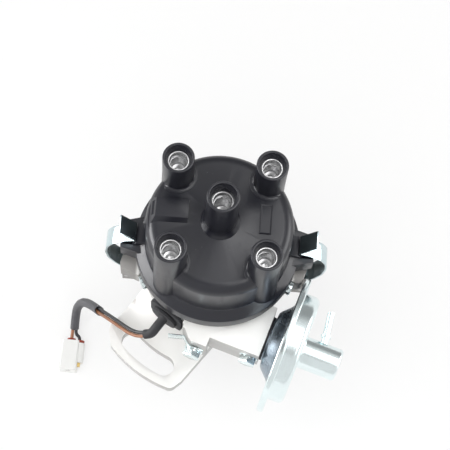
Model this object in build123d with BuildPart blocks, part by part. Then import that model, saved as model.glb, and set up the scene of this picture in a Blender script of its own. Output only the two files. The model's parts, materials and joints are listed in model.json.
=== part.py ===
# Four-cylinder ignition distributor with centrifugal and vacuum advance.
# Frame: Z is the shaft axis, X runs through the two cap clips, and z = 0 is the
# underside of the slotted arm, where the distributor seats on the engine.
import os
from math import atan2, cos, degrees, pi, radians, sin, tan

from build123d import *

os.makedirs("parts", exist_ok=True)

# ---------------------------------------------------------------- driving sizes (mm)
# heights
arm_t = 7.0                 # slotted arm
bowl_floor_z = 18.0         # inside floor of the bowl
rim_z = 47.0                # top of the bowl, where the cap sits
dome_z = 86.4               # top of the cap's dome
tower_z = 107.0             # rims of the four outer towers
centre_tower_z = 118.6      # rim of the centre tower
shank_len = 26.0            # register below the arm

# radii
shaft_r = 5.5
journal_r = 4.5             # upper end of the shaft, which carries the rotor sleeve
bush_r = 7.5
register_r = 15.0
bowl_r = 33.0               # inside
wall_t = 3.5
rim_r = 38.2                # flange round the top of the bowl
cap_rim_r = 40.3
run_gap = 0.03              # radial clearance of a running fit

# slotted arm
slot_r, slot_w = 56.5, 10.4
slot_from, slot_to = -112.8, -134.2     # centres of the slot's round ends, degrees
arm_edge_r = 66.2

# cap
dome_r = 35.2
dome_edge_z, dome_edge_r = 85.8, 6.0    # shoulder of the dome: its height and rounding
shelf_low_z, shelf_high_z = 55.0, 59.0  # sloping shelf between the rim and the dome's wall
tower_r, tower_pcd_r = 7.5, 30.65
tower_foot_r = 8.3
tower_split_z = 90.0        # the towers are pieces of their own above this
mouth_r, insert_r, socket_r = 6.25, 4.6, 3.3
mouth_deep, centre_mouth_deep = 4.7, 7.0
post_z, insert_z = 66.0, 88.0           # lower ends of the outer terminals, and of their inserts

# vacuum unit
vac_angle = -17.0
vac_off = 29.4              # its axis passes this far from the shaft
vac_z = 30.0
flange_r = 35.0
drum_r, drum_in, drum_out = 27.8, 49.4, 57.3
nozzle_r, nozzle_end = 8.1, 76.8
bracket_r = 11.2

# clips
clip_w, clip_t = 9.0, 0.9
clip_pivot = (45.2, 15.5)   # x, z
clip_pin_r, clip_pin_y, clip_pin_len = 1.25, 8.7, 17.2

# governor
weight_hinge_x, weight_drive_x = 17.0, 9.0
weight_z, weight_t = 22.6, 4.6

# drive gear
gear_teeth, gear_tip_r, gear_root_r = 13, 14.0, 10.2
gear_top, gear_len, helix = -27.6, 18.0, 40.0


def polar(r, angle, z=0.0):
    return (r * cos(radians(angle)), r * sin(radians(angle)), z)


def along_vacuum(u, n, z=0.0):
    """A point u along the vacuum axis' direction and n to its left."""
    a = radians(vac_angle)
    return (u * cos(a) - n * sin(a), u * sin(a) + n * cos(a), z)


def finish(piece, name):
    piece.part.label = name
    export_step(piece.part, "parts/" + name + ".step")


# planes used by several pieces
vac_u = Vector(*along_vacuum(1, 0))
vac_n = Vector(*along_vacuum(0, 1))
vac_origin = Vector(*along_vacuum(0, -vac_off, vac_z))
vac_profile = Plane(origin=vac_origin, x_dir=vac_u, z_dir=-vac_n)   # x along, y = up
vac_axis = Axis(vac_origin, vac_u)


def vac_plane(u):
    """Across the vacuum axis at u: local x is to its left, local y is up."""
    return Plane(origin=vac_origin + vac_u * u, x_dir=-vac_n, z_dir=vac_u)


def boss_plane(z):
    """Level plane with local x along the vacuum axis and y to its left."""
    return Plane(origin=(0, 0, z), x_dir=vac_u, z_dir=(0, 0, 1))


def level_plane(z, angle):
    return Plane(origin=(0, 0, z), x_dir=polar(1, angle), z_dir=(0, 0, 1))


def radial_plane(angle, r, z=0.0):
    """Across a radius: local x is tangential, local y is up."""
    return Plane(origin=polar(r, angle, z), x_dir=polar(1, angle + 90), z_dir=polar(1, angle))


def turned(points, plane=Plane.XZ, axis=Axis.Z, mode=Mode.ADD):
    """Revolve a closed outline of straight lines."""
    with BuildSketch(plane) as outline:
        with BuildLine():
            Polyline(*points, close=True)
        make_face()
    revolve(outline.sketch, axis=axis, mode=mode)


# ---------------------------------------------------------------- housing
arm_far = polar(arm_edge_r, -139.2)[:2]
arm_near = polar(arm_edge_r, -105.2)[:2]
slot_arc = CenterArc((0, 0), slot_r, slot_from, slot_to - slot_from, mode=Mode.PRIVATE)


def arm_outline():
    with BuildSketch() as outline:
        with BuildLine():
            Polyline((-20, 6), (-31, -7), (-51.8, -34.2), arm_far)
            ThreePointArc(arm_far, polar(arm_edge_r, -122)[:2], arm_near)
            Polyline(arm_near, (-12.4, -59.4), (4.5, -36.0), (12, -14), (-20, 6))
        make_face()
        fillet(outline.vertices().sort_by_distance((-51.8, -34.2))[0], 5)
        fillet(outline.vertices().sort_by_distance(arm_far)[0], 4)
        fillet(outline.vertices().sort_by_distance(arm_near)[0], 4)
    return outline.sketch


# raised web that ties the arm to the neck and falls away towards the slot
with BuildPart() as arm_web:
    extrude(arm_outline(), amount=14)
    turned([(0, 0), (48.6, 0), (48.6, arm_t), (45, 8.4), (37, 12.6), (33, 14), (0, 14)],
           mode=Mode.INTERSECT)

ear_low, ear_top = 30.5, 41.0
web_low, web_t = 11.0, 3.0
left_ear = [(-30, -5.5), (-46.4, -5.5), (-47.4, -9.5), (-47.0, -12.2), (-44.3, -12.9), (-37.8, -15.6),
            (-36.2, -12.0), (-30, -11)]
right_ear = [(30, -5.5), (46.4, -5.5), (44.7, -7.8), (43.3, -12.1), (42.0, -12.9), (37.4, -12.7), (30, -10.5)]
screw_pads = [(-152.0, 38.6), (-22.5, 39.4)]      # angle, radius of the facing
base_screw_z, plate_head_r = 39.6, 3.5
grommet_angle, grommet_w, grommet_z = -124.5, 14.0, 33.0
block_outline = [(-1.8, -36.0), (-2.2, -40.2), (3.1, -46.2), (4.8, -47.3), (12.8, -47.3), (12.8, -36.0)]
screw_l_u, screw_r_u, front_screw_z = 6.9, 33.5, 30.0
boss_front, boss_top, boss_end = -42.4, 41.0, 38.5

with BuildPart() as housing:
    # bowl, neck and register, turned
    turned([(0, -shank_len), (register_r - 1, -shank_len), (register_r, -shank_len + 1), (register_r, 0),
            (24, 0), (24, arm_t), (29, 11), (bowl_r + 1.5, 13.6), (bowl_r + wall_t, 17),
            (bowl_r + wall_t, 43.6), (rim_r, 44.6), (rim_r, rim_z), (0, rim_z)])
    # slotted arm and its web
    extrude(arm_outline(), amount=arm_t)
    add(arm_web.part)
    # boss that carries the vacuum unit, with a lip round its top
    with BuildSketch(boss_plane(19)):
        with Locations(((boss_end + 2) / 2, (boss_front + 1.3 - 16) / 2)):
            Rectangle(boss_end - 2, 26.4 - 1.3)
    extrude(amount=boss_top - 19)
    with BuildSketch(boss_plane(boss_top - 5.6)):
        with Locations(((boss_end - 1.4) / 2, (boss_front - 24) / 2)):
            Rectangle(boss_end + 1.4, -24 - boss_front)
    extrude(amount=5.6)
    # block for the earth tab's screw
    with BuildSketch(boss_plane(22)):
        with BuildLine():
            Polyline(*block_outline, close=True)
        make_face()
    extrude(amount=boss_top - 22)
    # ears under the clips, and the two webs at each side that hold a clip's pin
    for side, ear in ((-1, left_ear), (1, right_ear)):
        with BuildSketch(Plane.XY.offset(ear_low)):
            with BuildLine():
                Polyline(*ear, close=True)
            make_face()
        extrude(amount=ear_top - ear_low)
        with BuildSketch(Plane.XY.offset(web_low)):
            with Locations((side * 38.6, 7.1), (side * 38.6, -7.0)):
                Rectangle(17.2, web_t)
        extrude(amount=ear_low - web_low)
    # the right ear stops short of the vacuum unit
    with BuildSketch(boss_plane(26)):
        with Locations((55.3, 0)):
            Rectangle(20, 60)
    extrude(amount=20, mode=Mode.SUBTRACT)
    # facings for the base plate's screws
    for angle, r in screw_pads:
        with BuildSketch(radial_plane(angle, 34, base_screw_z)):
            Circle(4.6)
        extrude(amount=r - 34)
    # room for the heads of those screws
    for angle, r in screw_pads:
        with BuildSketch(radial_plane(angle, r, base_screw_z)):
            Circle(plate_head_r + 0.3)
        extrude(amount=6, mode=Mode.SUBTRACT)
    # inside of the bowl with a ledge for the dust cover and a groove for the cap's seal
    turned([(0, bowl_floor_z), (bowl_r, bowl_floor_z), (bowl_r, 45), (34.3, 45), (34.3, rim_z + 1),
            (0, rim_z + 1)], mode=Mode.SUBTRACT)
    turned([(35.3, 46.2), (36.9, 46.2), (36.9, rim_z + 1), (35.3, rim_z + 1)], mode=Mode.SUBTRACT)
    # shaft bore, O-ring groove
    with BuildSketch(Plane.XY.offset(-shank_len)):
        Circle(bush_r)
    extrude(amount=shank_len + bowl_floor_z, mode=Mode.SUBTRACT)
    turned([(13.2, -14.6), (register_r + 1, -14.6), (register_r + 1, -12), (13.2, -12)], mode=Mode.SUBTRACT)
    # adjusting slot
    with BuildSketch():
        SlotArc(arc=slot_arc, height=slot_w)
    extrude(amount=20, mode=Mode.SUBTRACT)
    # passage for the vacuum rod, wider at the mouth for the unit's tongue
    with BuildSketch(boss_plane(vac_z - 4)):
        with Locations(((boss_end - 5) / 2, -29.2)):
            Rectangle(boss_end + 5, 9.6)
    extrude(amount=8, mode=Mode.SUBTRACT)
    with BuildSketch(boss_plane(vac_z - 5)):
        with Locations((boss_end - 5.5, -30)):
            Rectangle(11, 12.2)
    extrude(amount=10, mode=Mode.SUBTRACT)
    # notch for the grommet
    with BuildSketch(radial_plane(grommet_angle, bowl_r - 2)):
        with Locations((0, grommet_z)):
            Circle(grommet_w / 2)
        with Locations((0, grommet_z + 8)):
            Rectangle(grommet_w, 16)
    extrude(amount=9, mode=Mode.SUBTRACT)
    # holes for the base plate's screws, the front screws and the clip pins
    for angle, r in screw_pads:
        with BuildSketch(radial_plane(angle, 30, base_screw_z)):
            Circle(2.0)
        extrude(amount=12, mode=Mode.SUBTRACT)
    with BuildSketch(Plane(origin=Vector(*along_vacuum(screw_l_u, -37.5, front_screw_z)), z_dir=-vac_n)):
        Circle(2.5)
    extrude(amount=12, mode=Mode.SUBTRACT)
    with BuildSketch(Plane(origin=Vector(*along_vacuum(screw_r_u, -35.0, front_screw_z)), z_dir=-vac_n)):
        Circle(2.5)
    extrude(amount=12, mode=Mode.SUBTRACT)
    for side in (-1, 1):
        with BuildSketch(Plane(origin=(side * clip_pivot[0], clip_pin_y, clip_pivot[1]), z_dir=(0, -1, 0))):
            Circle(clip_pin_r)
        extrude(amount=clip_pin_len, mode=Mode.SUBTRACT)
finish(housing, "housing")

# ---------------------------------------------------------------- shank: bushes, seal, washer
with BuildPart() as upper_bush:
    turned([(shaft_r + run_gap, bowl_floor_z - 14), (bush_r, bowl_floor_z - 14), (bush_r, bowl_floor_z),
            (shaft_r + run_gap, bowl_floor_z)])
finish(upper_bush, "upper_bush")

with BuildPart() as lower_bush:
    turned([(shaft_r + run_gap, -shank_len), (bush_r, -shank_len), (bush_r, -shank_len + 14),
            (shaft_r + run_gap, -shank_len + 14)])
finish(lower_bush, "lower_bush")

with BuildPart() as o_ring:
    with BuildSketch(Plane.XZ):
        with Locations((14.2, -13.3)):
            Circle(0.98)
    revolve(axis=Axis.Z)
finish(o_ring, "o_ring")

with BuildPart() as thrust_washer:
    turned([(shaft_r + 0.1, gear_top + 0.1), (12.5, gear_top + 0.1), (12.5, -shank_len - 0.1),
            (shaft_r + 0.1, -shank_len - 0.1)])
finish(thrust_washer, "thrust_washer")

# ---------------------------------------------------------------- main shaft and drive gear
shaft_end, shaft_top = -51.0, 58.0
shoulder_z = 20.4
hub_z, pin_z = -51.0, -48.3          # lower end of the gear's hub, and its roll pin

with BuildPart() as main_shaft:
    turned([(0, shaft_end), (shaft_r - 0.8, shaft_end), (shaft_r, shaft_end + 0.8), (shaft_r, shoulder_z),
            (journal_r, shoulder_z), (journal_r, shaft_top - 0.5), (journal_r - 0.5, shaft_top),
            (0, shaft_top)])
    with BuildSketch(Plane.XY.offset(shaft_top)):
        Circle(2.0)
    extrude(amount=-12, mode=Mode.SUBTRACT)
    with BuildSketch(Plane.YZ.offset(-8)):
        with Locations((0, pin_z)):
            Circle(1.5)
    extrude(amount=16, mode=Mode.SUBTRACT)
finish(main_shaft, "main_shaft")

# one tooth from root to tip, repeated round the blank and twisted along its length
half_pitch, pitch_r = 180 / gear_teeth, 12.3
with BuildSketch() as gear_tooth:
    with BuildLine():
        foot_a, foot_b = [polar(gear_root_r - 0.3, side * half_pitch * 0.62)[:2] for side in (-1, 1)]
        flank_a, flank_b = [polar(pitch_r, side * half_pitch * 0.45)[:2] for side in (-1, 1)]
        tip_a, tip_b = [polar(gear_tip_r, side * half_pitch * 0.26)[:2] for side in (-1, 1)]
        ThreePointArc(foot_a, flank_a, tip_a)
        ThreePointArc(tip_a, (gear_tip_r, 0), tip_b)
        ThreePointArc(tip_b, flank_b, foot_b)
        Line(foot_b, foot_a)
    make_face()
with BuildSketch() as gear_section:
    Circle(gear_root_r)
    with PolarLocations(0, gear_teeth):
        add(gear_tooth.sketch)
twist = degrees(gear_len * tan(radians(helix)) / pitch_r)
gear_low = gear_top - gear_len
gear_face = gear_section.sketch.face()
gear_blank = Solid.extrude_linear_with_rotation(gear_face, (0, 0, 0), (0, 0, gear_len), twist)

with BuildPart() as drive_gear:
    add(gear_blank.moved(Location((0, 0, gear_low))))
    # tip chamfers at both ends
    turned([(0, gear_low), (12.6, gear_low), (gear_tip_r + 0.2, gear_low + 1.6),
            (gear_tip_r + 0.2, gear_top - 1.6), (12.6, gear_top), (0, gear_top)], mode=Mode.INTERSECT)
    turned([(0, hub_z), (8.6, hub_z), (9.2, hub_z + 0.6), (9.2, gear_low + 1), (0, gear_low + 1)])
    with BuildSketch(Plane.XY.offset(hub_z)):
        Circle(shaft_r)
    extrude(amount=30, mode=Mode.SUBTRACT)
    with BuildSketch(Plane.YZ.offset(-12)):
        with Locations((0, pin_z)):
            Circle(1.5)
    extrude(amount=24, mode=Mode.SUBTRACT)
finish(drive_gear, "drive_gear")

with BuildPart() as gear_roll_pin:
    with BuildSketch(Plane.YZ.offset(-9.0)):
        with Locations((0, pin_z)):
            Circle(1.5)
            Circle(0.7, mode=Mode.SUBTRACT)
    extrude(amount=18.0)
finish(gear_roll_pin, "gear_roll_pin")

# ---------------------------------------------------------------- centrifugal governor
spring_z = 31.4                       # level of the governor springs
yoke_post_r, yoke_post_angle = 15.0, 60.0

with BuildPart() as governor_plate:
    turned([(shaft_r, 18.4), (9.5, 18.4), (9.5, 19.8), (23.5, 19.8), (23.5, 21.8), (journal_r, 21.8),
            (journal_r, shoulder_z), (shaft_r, shoulder_z)])
    # two flats leave the ears that carry the hinge pins
    with BuildSketch(Plane.XY.offset(19.8)):
        with Locations((0, 25), (0, -25)):
            Rectangle(60, 16)
    extrude(amount=2, mode=Mode.SUBTRACT)
    with BuildSketch(Plane.XY.offset(19.8)):
        with Locations((weight_hinge_x, 0), (-weight_hinge_x, 0)):
            Circle(2.0)
    extrude(amount=2, mode=Mode.SUBTRACT)
finish(governor_plate, "governor_plate")

with BuildPart() as weight_pins:
    for side in (-1, 1):
        pin_x = weight_hinge_x * side
        turned([(pin_x + r, z) for r, z in
                ((0, 19.2), (2, 19.2), (2, 30.4), (1.3, 30.6), (1.3, 32.2), (2, 32.4), (2, 33.0), (0, 33.0))],
               axis=Axis((pin_x, 0, 0), (0, 0, 1)))
finish(weight_pins, "weight_pins")

# a weight: hinge eye, finger with its drive pin, and the curved mass
for name, turn in (("governor_weight_a", 0), ("governor_weight_b", 180)):
    with BuildPart() as weight:
        with BuildSketch(level_plane(weight_z, turn)):
            with Locations((weight_hinge_x, 0)):
                Circle(4.6)
            with Locations((weight_drive_x, 0)):
                Circle(2.3)
            with Locations(((weight_drive_x + weight_hinge_x) / 2, 0)):
                Rectangle(weight_hinge_x - weight_drive_x, 4.6)
            with BuildLine():
                inner = CenterArc((0, 0), 10.4, 22, 122)
                outer = CenterArc((0, 0), 22.4, 8, 142)
                Line(inner @ 0, outer @ 0)
                Line(inner @ 1, outer @ 1)
            make_face()
            with Locations((weight_hinge_x, 0)):
                Circle(2.0 + run_gap, mode=Mode.SUBTRACT)
        extrude(amount=weight_t)
        with BuildSketch(level_plane(weight_z + weight_t, turn)):
            with Locations((weight_drive_x, 0)):
                Circle(1.5)
        extrude(amount=3.0)
    finish(weight, name)

# ---------------------------------------------------------------- rotor sleeve with its yoke
sleeve_r, sleeve_top = 7.0, 62.0
yoke_z, yoke_t = 27.6, 2.0

with BuildPart() as rotor_sleeve:
    turned([(journal_r + run_gap, 22.1), (5.9, 22.1), (5.9, yoke_z), (sleeve_r, yoke_z),
            (sleeve_r, sleeve_top), (5.5, sleeve_top), (5.5, shaft_top + 0.1),
            (journal_r + run_gap, shaft_top + 0.1)])
    with BuildSketch(Plane.XY.offset(yoke_z)):
        Circle(10)
        with PolarLocations(0, 2):
            with Locations((10.2, 0)):
                RectangleRounded(7.6, 9.4, 1.5)
        with PolarLocations(0, 2, start_angle=yoke_post_angle):
            with Locations((11, 0)):
                Rectangle(8, 5)
            with Locations((yoke_post_r, 0)):
                Circle(2.5)
        # slots for the weights' drive pins
        with PolarLocations(0, 2):
            with Locations((12.3, 0)):
                Rectangle(9.6, 3.7, mode=Mode.SUBTRACT)
        Circle(journal_r + run_gap, mode=Mode.SUBTRACT)
    extrude(amount=yoke_t)
    for side in (0, 180):
        x, y, _ = polar(yoke_post_r, yoke_post_angle + side)
        with BuildSketch(Plane.XY.offset(yoke_z + yoke_t)):
            with Locations((x, y)):
                Circle(1.3)
        extrude(amount=spring_z + 0.9 - yoke_z - yoke_t)
        with BuildSketch(Plane.XY.offset(spring_z + 0.9)):
            with Locations((x, y)):
                Circle(1.8)
        extrude(amount=0.6)
    # key flat that sets the rotor
    with BuildSketch(Plane.XY.offset(47.5)):
        with Locations(polar(7.9, 45 + 180)[:2]):
            Rectangle(3.2, 12, rotation=45)
    extrude(amount=sleeve_top - 47.5, mode=Mode.SUBTRACT)
finish(rotor_sleeve, "rotor_sleeve")

with BuildPart() as sleeve_washer:
    turned([(2.1, shaft_top + 0.2), (5.3, shaft_top + 0.2), (5.3, shaft_top + 1.0), (2.1, shaft_top + 1.0)])
finish(sleeve_washer, "sleeve_washer")

with BuildPart() as sleeve_screw:
    turned([(0, shaft_top - 9), (2.0, shaft_top - 9), (2.0, shaft_top + 1), (3.6, shaft_top + 1),
            (3.6, shaft_top + 2.6), (2.9, shaft_top + 3.3), (0, shaft_top + 3.3)])
    with BuildSketch(Plane.XY.offset(shaft_top + 3.3)):
        Rectangle(8, 0.9)
    extrude(amount=-1.3, mode=Mode.SUBTRACT)
finish(sleeve_screw, "sleeve_screw")

# tension springs from each hinge pin to the yoke's post, hooked at both ends
with BuildPart() as governor_springs:
    for side in (0, 180):
        start = Vector(*polar(weight_hinge_x, side, spring_z))
        end = Vector(*polar(yoke_post_r, yoke_post_angle + side, spring_z))
        way = (end - start).normalized()
        body = (start + way * 3.2, end - way * 3.2)
        with BuildSketch(Plane(origin=body[0], z_dir=way)):
            Circle(1.5)
            Circle(1.0, mode=Mode.SUBTRACT)
        extrude(amount=(body[1] - body[0]).length)
        for centre, post_r in ((start, 1.35), (end, 1.35)):
            with BuildSketch(Plane.XY.offset(spring_z - 0.3)):
                with Locations((centre.X, centre.Y)):
                    Circle(2.0)
                    Circle(post_r, mode=Mode.SUBTRACT)
            extrude(amount=0.6)
        for centre, sign in ((start, 1), (end, -1)):
            with BuildSketch(Plane(origin=centre + way * sign * 1.6, z_dir=way * sign)):
                Rectangle(0.6, 0.6)
            extrude(amount=1.8)
        for centre, sign in ((start, 1), (end, -1)):
            with BuildSketch(Plane(origin=centre + way * sign * 3.0, z_dir=way * sign)):
                Circle(1.4)
            extrude(amount=0.5)
finish(governor_springs, "governor_springs")

# four-tooth reluctor pressed on the sleeve
with BuildSketch() as reluctor_tooth:
    with BuildLine():
        Polyline((8, -3.4), (15, -1.6), (15, 1.6), (8, 3.4), close=True)
    make_face()

with BuildPart() as reluctor:
    with BuildSketch(Plane.XY.offset(39)):
        Circle(10)
        with PolarLocations(0, 4, start_angle=45):
            add(reluctor_tooth.sketch)
        Circle(sleeve_r, mode=Mode.SUBTRACT)
    extrude(amount=5)
finish(reluctor, "reluctor")

# ---------------------------------------------------------------- base plate and pickup
base_z, base_t, hub_in, hub_out = 33.4, 1.6, 12.0, 14.0

with BuildPart() as base_plate:
    turned([(hub_in, base_z), (30.8, base_z), (30.8, base_z + base_t), (hub_out, base_z + base_t),
            (hub_out, base_z + 4.6), (hub_in, base_z + 4.6)])
    # tabs bent up to take the radial screws
    for angle, _ in screw_pads:
        with BuildSketch(radial_plane(angle, 31.0, base_z + 5)):
            Rectangle(8.6, 10)
        extrude(amount=1.5)
        with BuildSketch(radial_plane(angle, 29, base_z + base_t / 2)):
            Rectangle(8.6, base_t)
        extrude(amount=3)
        with BuildSketch(radial_plane(angle, 30.5, base_screw_z)):
            Circle(2.0)
        extrude(amount=3, mode=Mode.SUBTRACT)
    # notch round the rod's pin
    with BuildSketch(boss_plane(base_z - 1)):
        with Locations((1.8, -31)):
            Rectangle(12, 13)
    extrude(amount=4, mode=Mode.SUBTRACT)
finish(base_plate, "base_plate")

plate_z, plate_t = 35.3, 1.6
rod_pin_r = 1.7

with BuildPart() as pickup_plate:
    with BuildSketch(Plane.XY.offset(plate_z)):
        Circle(26.5)
        Circle(hub_out + 0.06, mode=Mode.SUBTRACT)
    extrude(amount=plate_t)
    with BuildSketch(boss_plane(plate_z)):
        with Locations((0, -26.9)):
            Rectangle(7, 9.8)
    extrude(amount=plate_t)
    with BuildSketch(boss_plane(28.6)):
        with Locations((0, -vac_off)):
            Circle(rod_pin_r)
    extrude(amount=plate_z - 28.6)
finish(pickup_plate, "pickup_plate")

pickup_angle = 90 + vac_angle

with BuildPart() as pickup_coil:
    with BuildSketch(level_plane(plate_z + plate_t, pickup_angle)):
        with Locations((22.6, 0)):
            RectangleRounded(8.4, 19, 1.6)
        with Locations((20.6, -12.3), (20.6, 12.3)):
            Circle(3.4)
        with Locations((20.6, 0)):
            Rectangle(4, 24.6)
        with Locations((20.6, -12.3), (20.6, 12.3)):
            Circle(1.5, mode=Mode.SUBTRACT)
    extrude(amount=2)
    with BuildSketch(level_plane(plate_z + plate_t + 2, pickup_angle)):
        with Locations((22.6, 0)):
            RectangleRounded(8, 15, 2.4)
    extrude(amount=5.4)
    with BuildSketch(Plane(origin=polar(18, pickup_angle, 41.4), z_dir=polar(1, pickup_angle))):
        Circle(2.0)
    extrude(amount=9, mode=Mode.SUBTRACT)
finish(pickup_coil, "pickup_coil")

with BuildPart() as pole_piece:
    with BuildSketch(Plane(origin=polar(15.7, pickup_angle, 41.4), z_dir=polar(1, pickup_angle))):
        Circle(2.0)
    extrude(amount=10.6)
finish(pole_piece, "pole_piece")

with BuildPart() as coil_screws:
    for side in (-12.3, 12.3):
        centre = Vector(*polar(20.6, pickup_angle)) + Vector(*polar(side, pickup_angle + 90))
        with BuildSketch(Plane(origin=centre + Vector(0, 0, plate_z + plate_t))):
            Circle(1.5)
        extrude(amount=2)
        with BuildSketch(Plane(origin=centre + Vector(0, 0, plate_z + plate_t + 2))):
            Circle(2.7)
        extrude(amount=1.8)
finish(coil_screws, "coil_screws")

# pan-head screws through the bowl wall
with BuildPart() as plate_screws:
    for angle, r in screw_pads:
        with BuildSketch(radial_plane(angle, 31.0, base_screw_z)):
            Circle(2.0)
        extrude(amount=r - 31.0)
        with BuildSketch(radial_plane(angle, r, base_screw_z)):
            Circle(plate_head_r)
        extrude(amount=2.3)
        with BuildSketch(radial_plane(angle, r + 2.3, base_screw_z)):
            Rectangle(8, 1)
        extrude(amount=-1.1, mode=Mode.SUBTRACT)
finish(plate_screws, "plate_screws")

with BuildPart() as dust_cover:
    turned([(11.6, 45.1), (12.4, 45.1), (12.4, 46.0), (22, 46.0), (24, 45.2), (34.2, 45.2), (34.2, 46.2),
            (24.3, 46.2), (22.3, 46.8), (11.6, 46.8)])
finish(dust_cover, "dust_cover")

# ---------------------------------------------------------------- rotor
rotor_angle = 45.0
rotor_base, arm_low, arm_high = 48.0, 64.0, 67.5

with BuildPart() as rotor:
    turned([(0, rotor_base), (10.4, rotor_base), (10.4, 60), (13.5, arm_low), (13.5, arm_high),
            (0, arm_high)])
    with BuildSketch(level_plane(arm_low, rotor_angle)):
        with BuildLine():
            Polyline((-13, -7), (10, -7), (24.6, -4.6), (24.6, 4.6), (10, 7), (-13, 7), close=True)
        make_face()
    extrude(amount=arm_high - arm_low)
    # socket for the sleeve, with the flat's key
    with BuildSketch(Plane.XY.offset(rotor_base)):
        Circle(sleeve_r + 0.02)
        with Locations(polar(8.0, rotor_angle + 180)[:2]):
            Rectangle(3.2, 11, rotation=rotor_angle, mode=Mode.SUBTRACT)
    extrude(amount=sleeve_top - rotor_base + 0.2, mode=Mode.SUBTRACT)
finish(rotor, "rotor")

with BuildPart() as rotor_electrode:
    with BuildSketch(level_plane(arm_high, rotor_angle)):
        with BuildLine():
            Polyline((-7, -3.6), (26.8, -3.6), (26.8, 3.6), (-7, 3.6), close=True)
        make_face()
    extrude(amount=1.4)
    # spring tongue that the carbon brush rubs on
    with BuildSketch(Plane(origin=(0, 0, 0), x_dir=polar(1, rotor_angle), z_dir=polar(1, rotor_angle - 90))):
        with BuildLine():
            FilletPolyline((-6.6, 68.4), (-4.2, 72.3), (2.6, 72.3), (4.6, 71.6), radius=1.2)
        trace(line_width=0.8)
    extrude(amount=2.4, both=True)
finish(rotor_electrode, "rotor_electrode")

# ---------------------------------------------------------------- cap
lug_half = [(34, 9.4), (38.5, 9.2), (47.2, 6.7)]
lug_top, lug_floor, lug_channel = 57.0, 54.2, 10.4
lug_seat = [(34, 53), (42.2, 53), (41.2, 57.4), (39.6, 59.2), (37.6, 59.4), (34, 61)]
hood_from, hood_to = -33.2, -15.3       # along X
hood_section = [(-4.6, 83.6), (-0.5, 88.2), (8.7, 88.2), (9.6, 83.6), (9.6, 80), (-4.6, 80)]
mark_x, mark_y, mark_z = (18.4, 24.0), (-4.6, 10.0), 86.15
quarters = (45, 135, 225, 315)


def tower_section(angle):
    """Upright plane through the shaft's axis and a tower's, and that tower's axis."""
    side_view = Plane(origin=(0, 0, 0), x_dir=polar(1, angle), z_dir=polar(1, angle - 90))
    return side_view, Axis(polar(tower_pcd_r, angle), (0, 0, 1))


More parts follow.
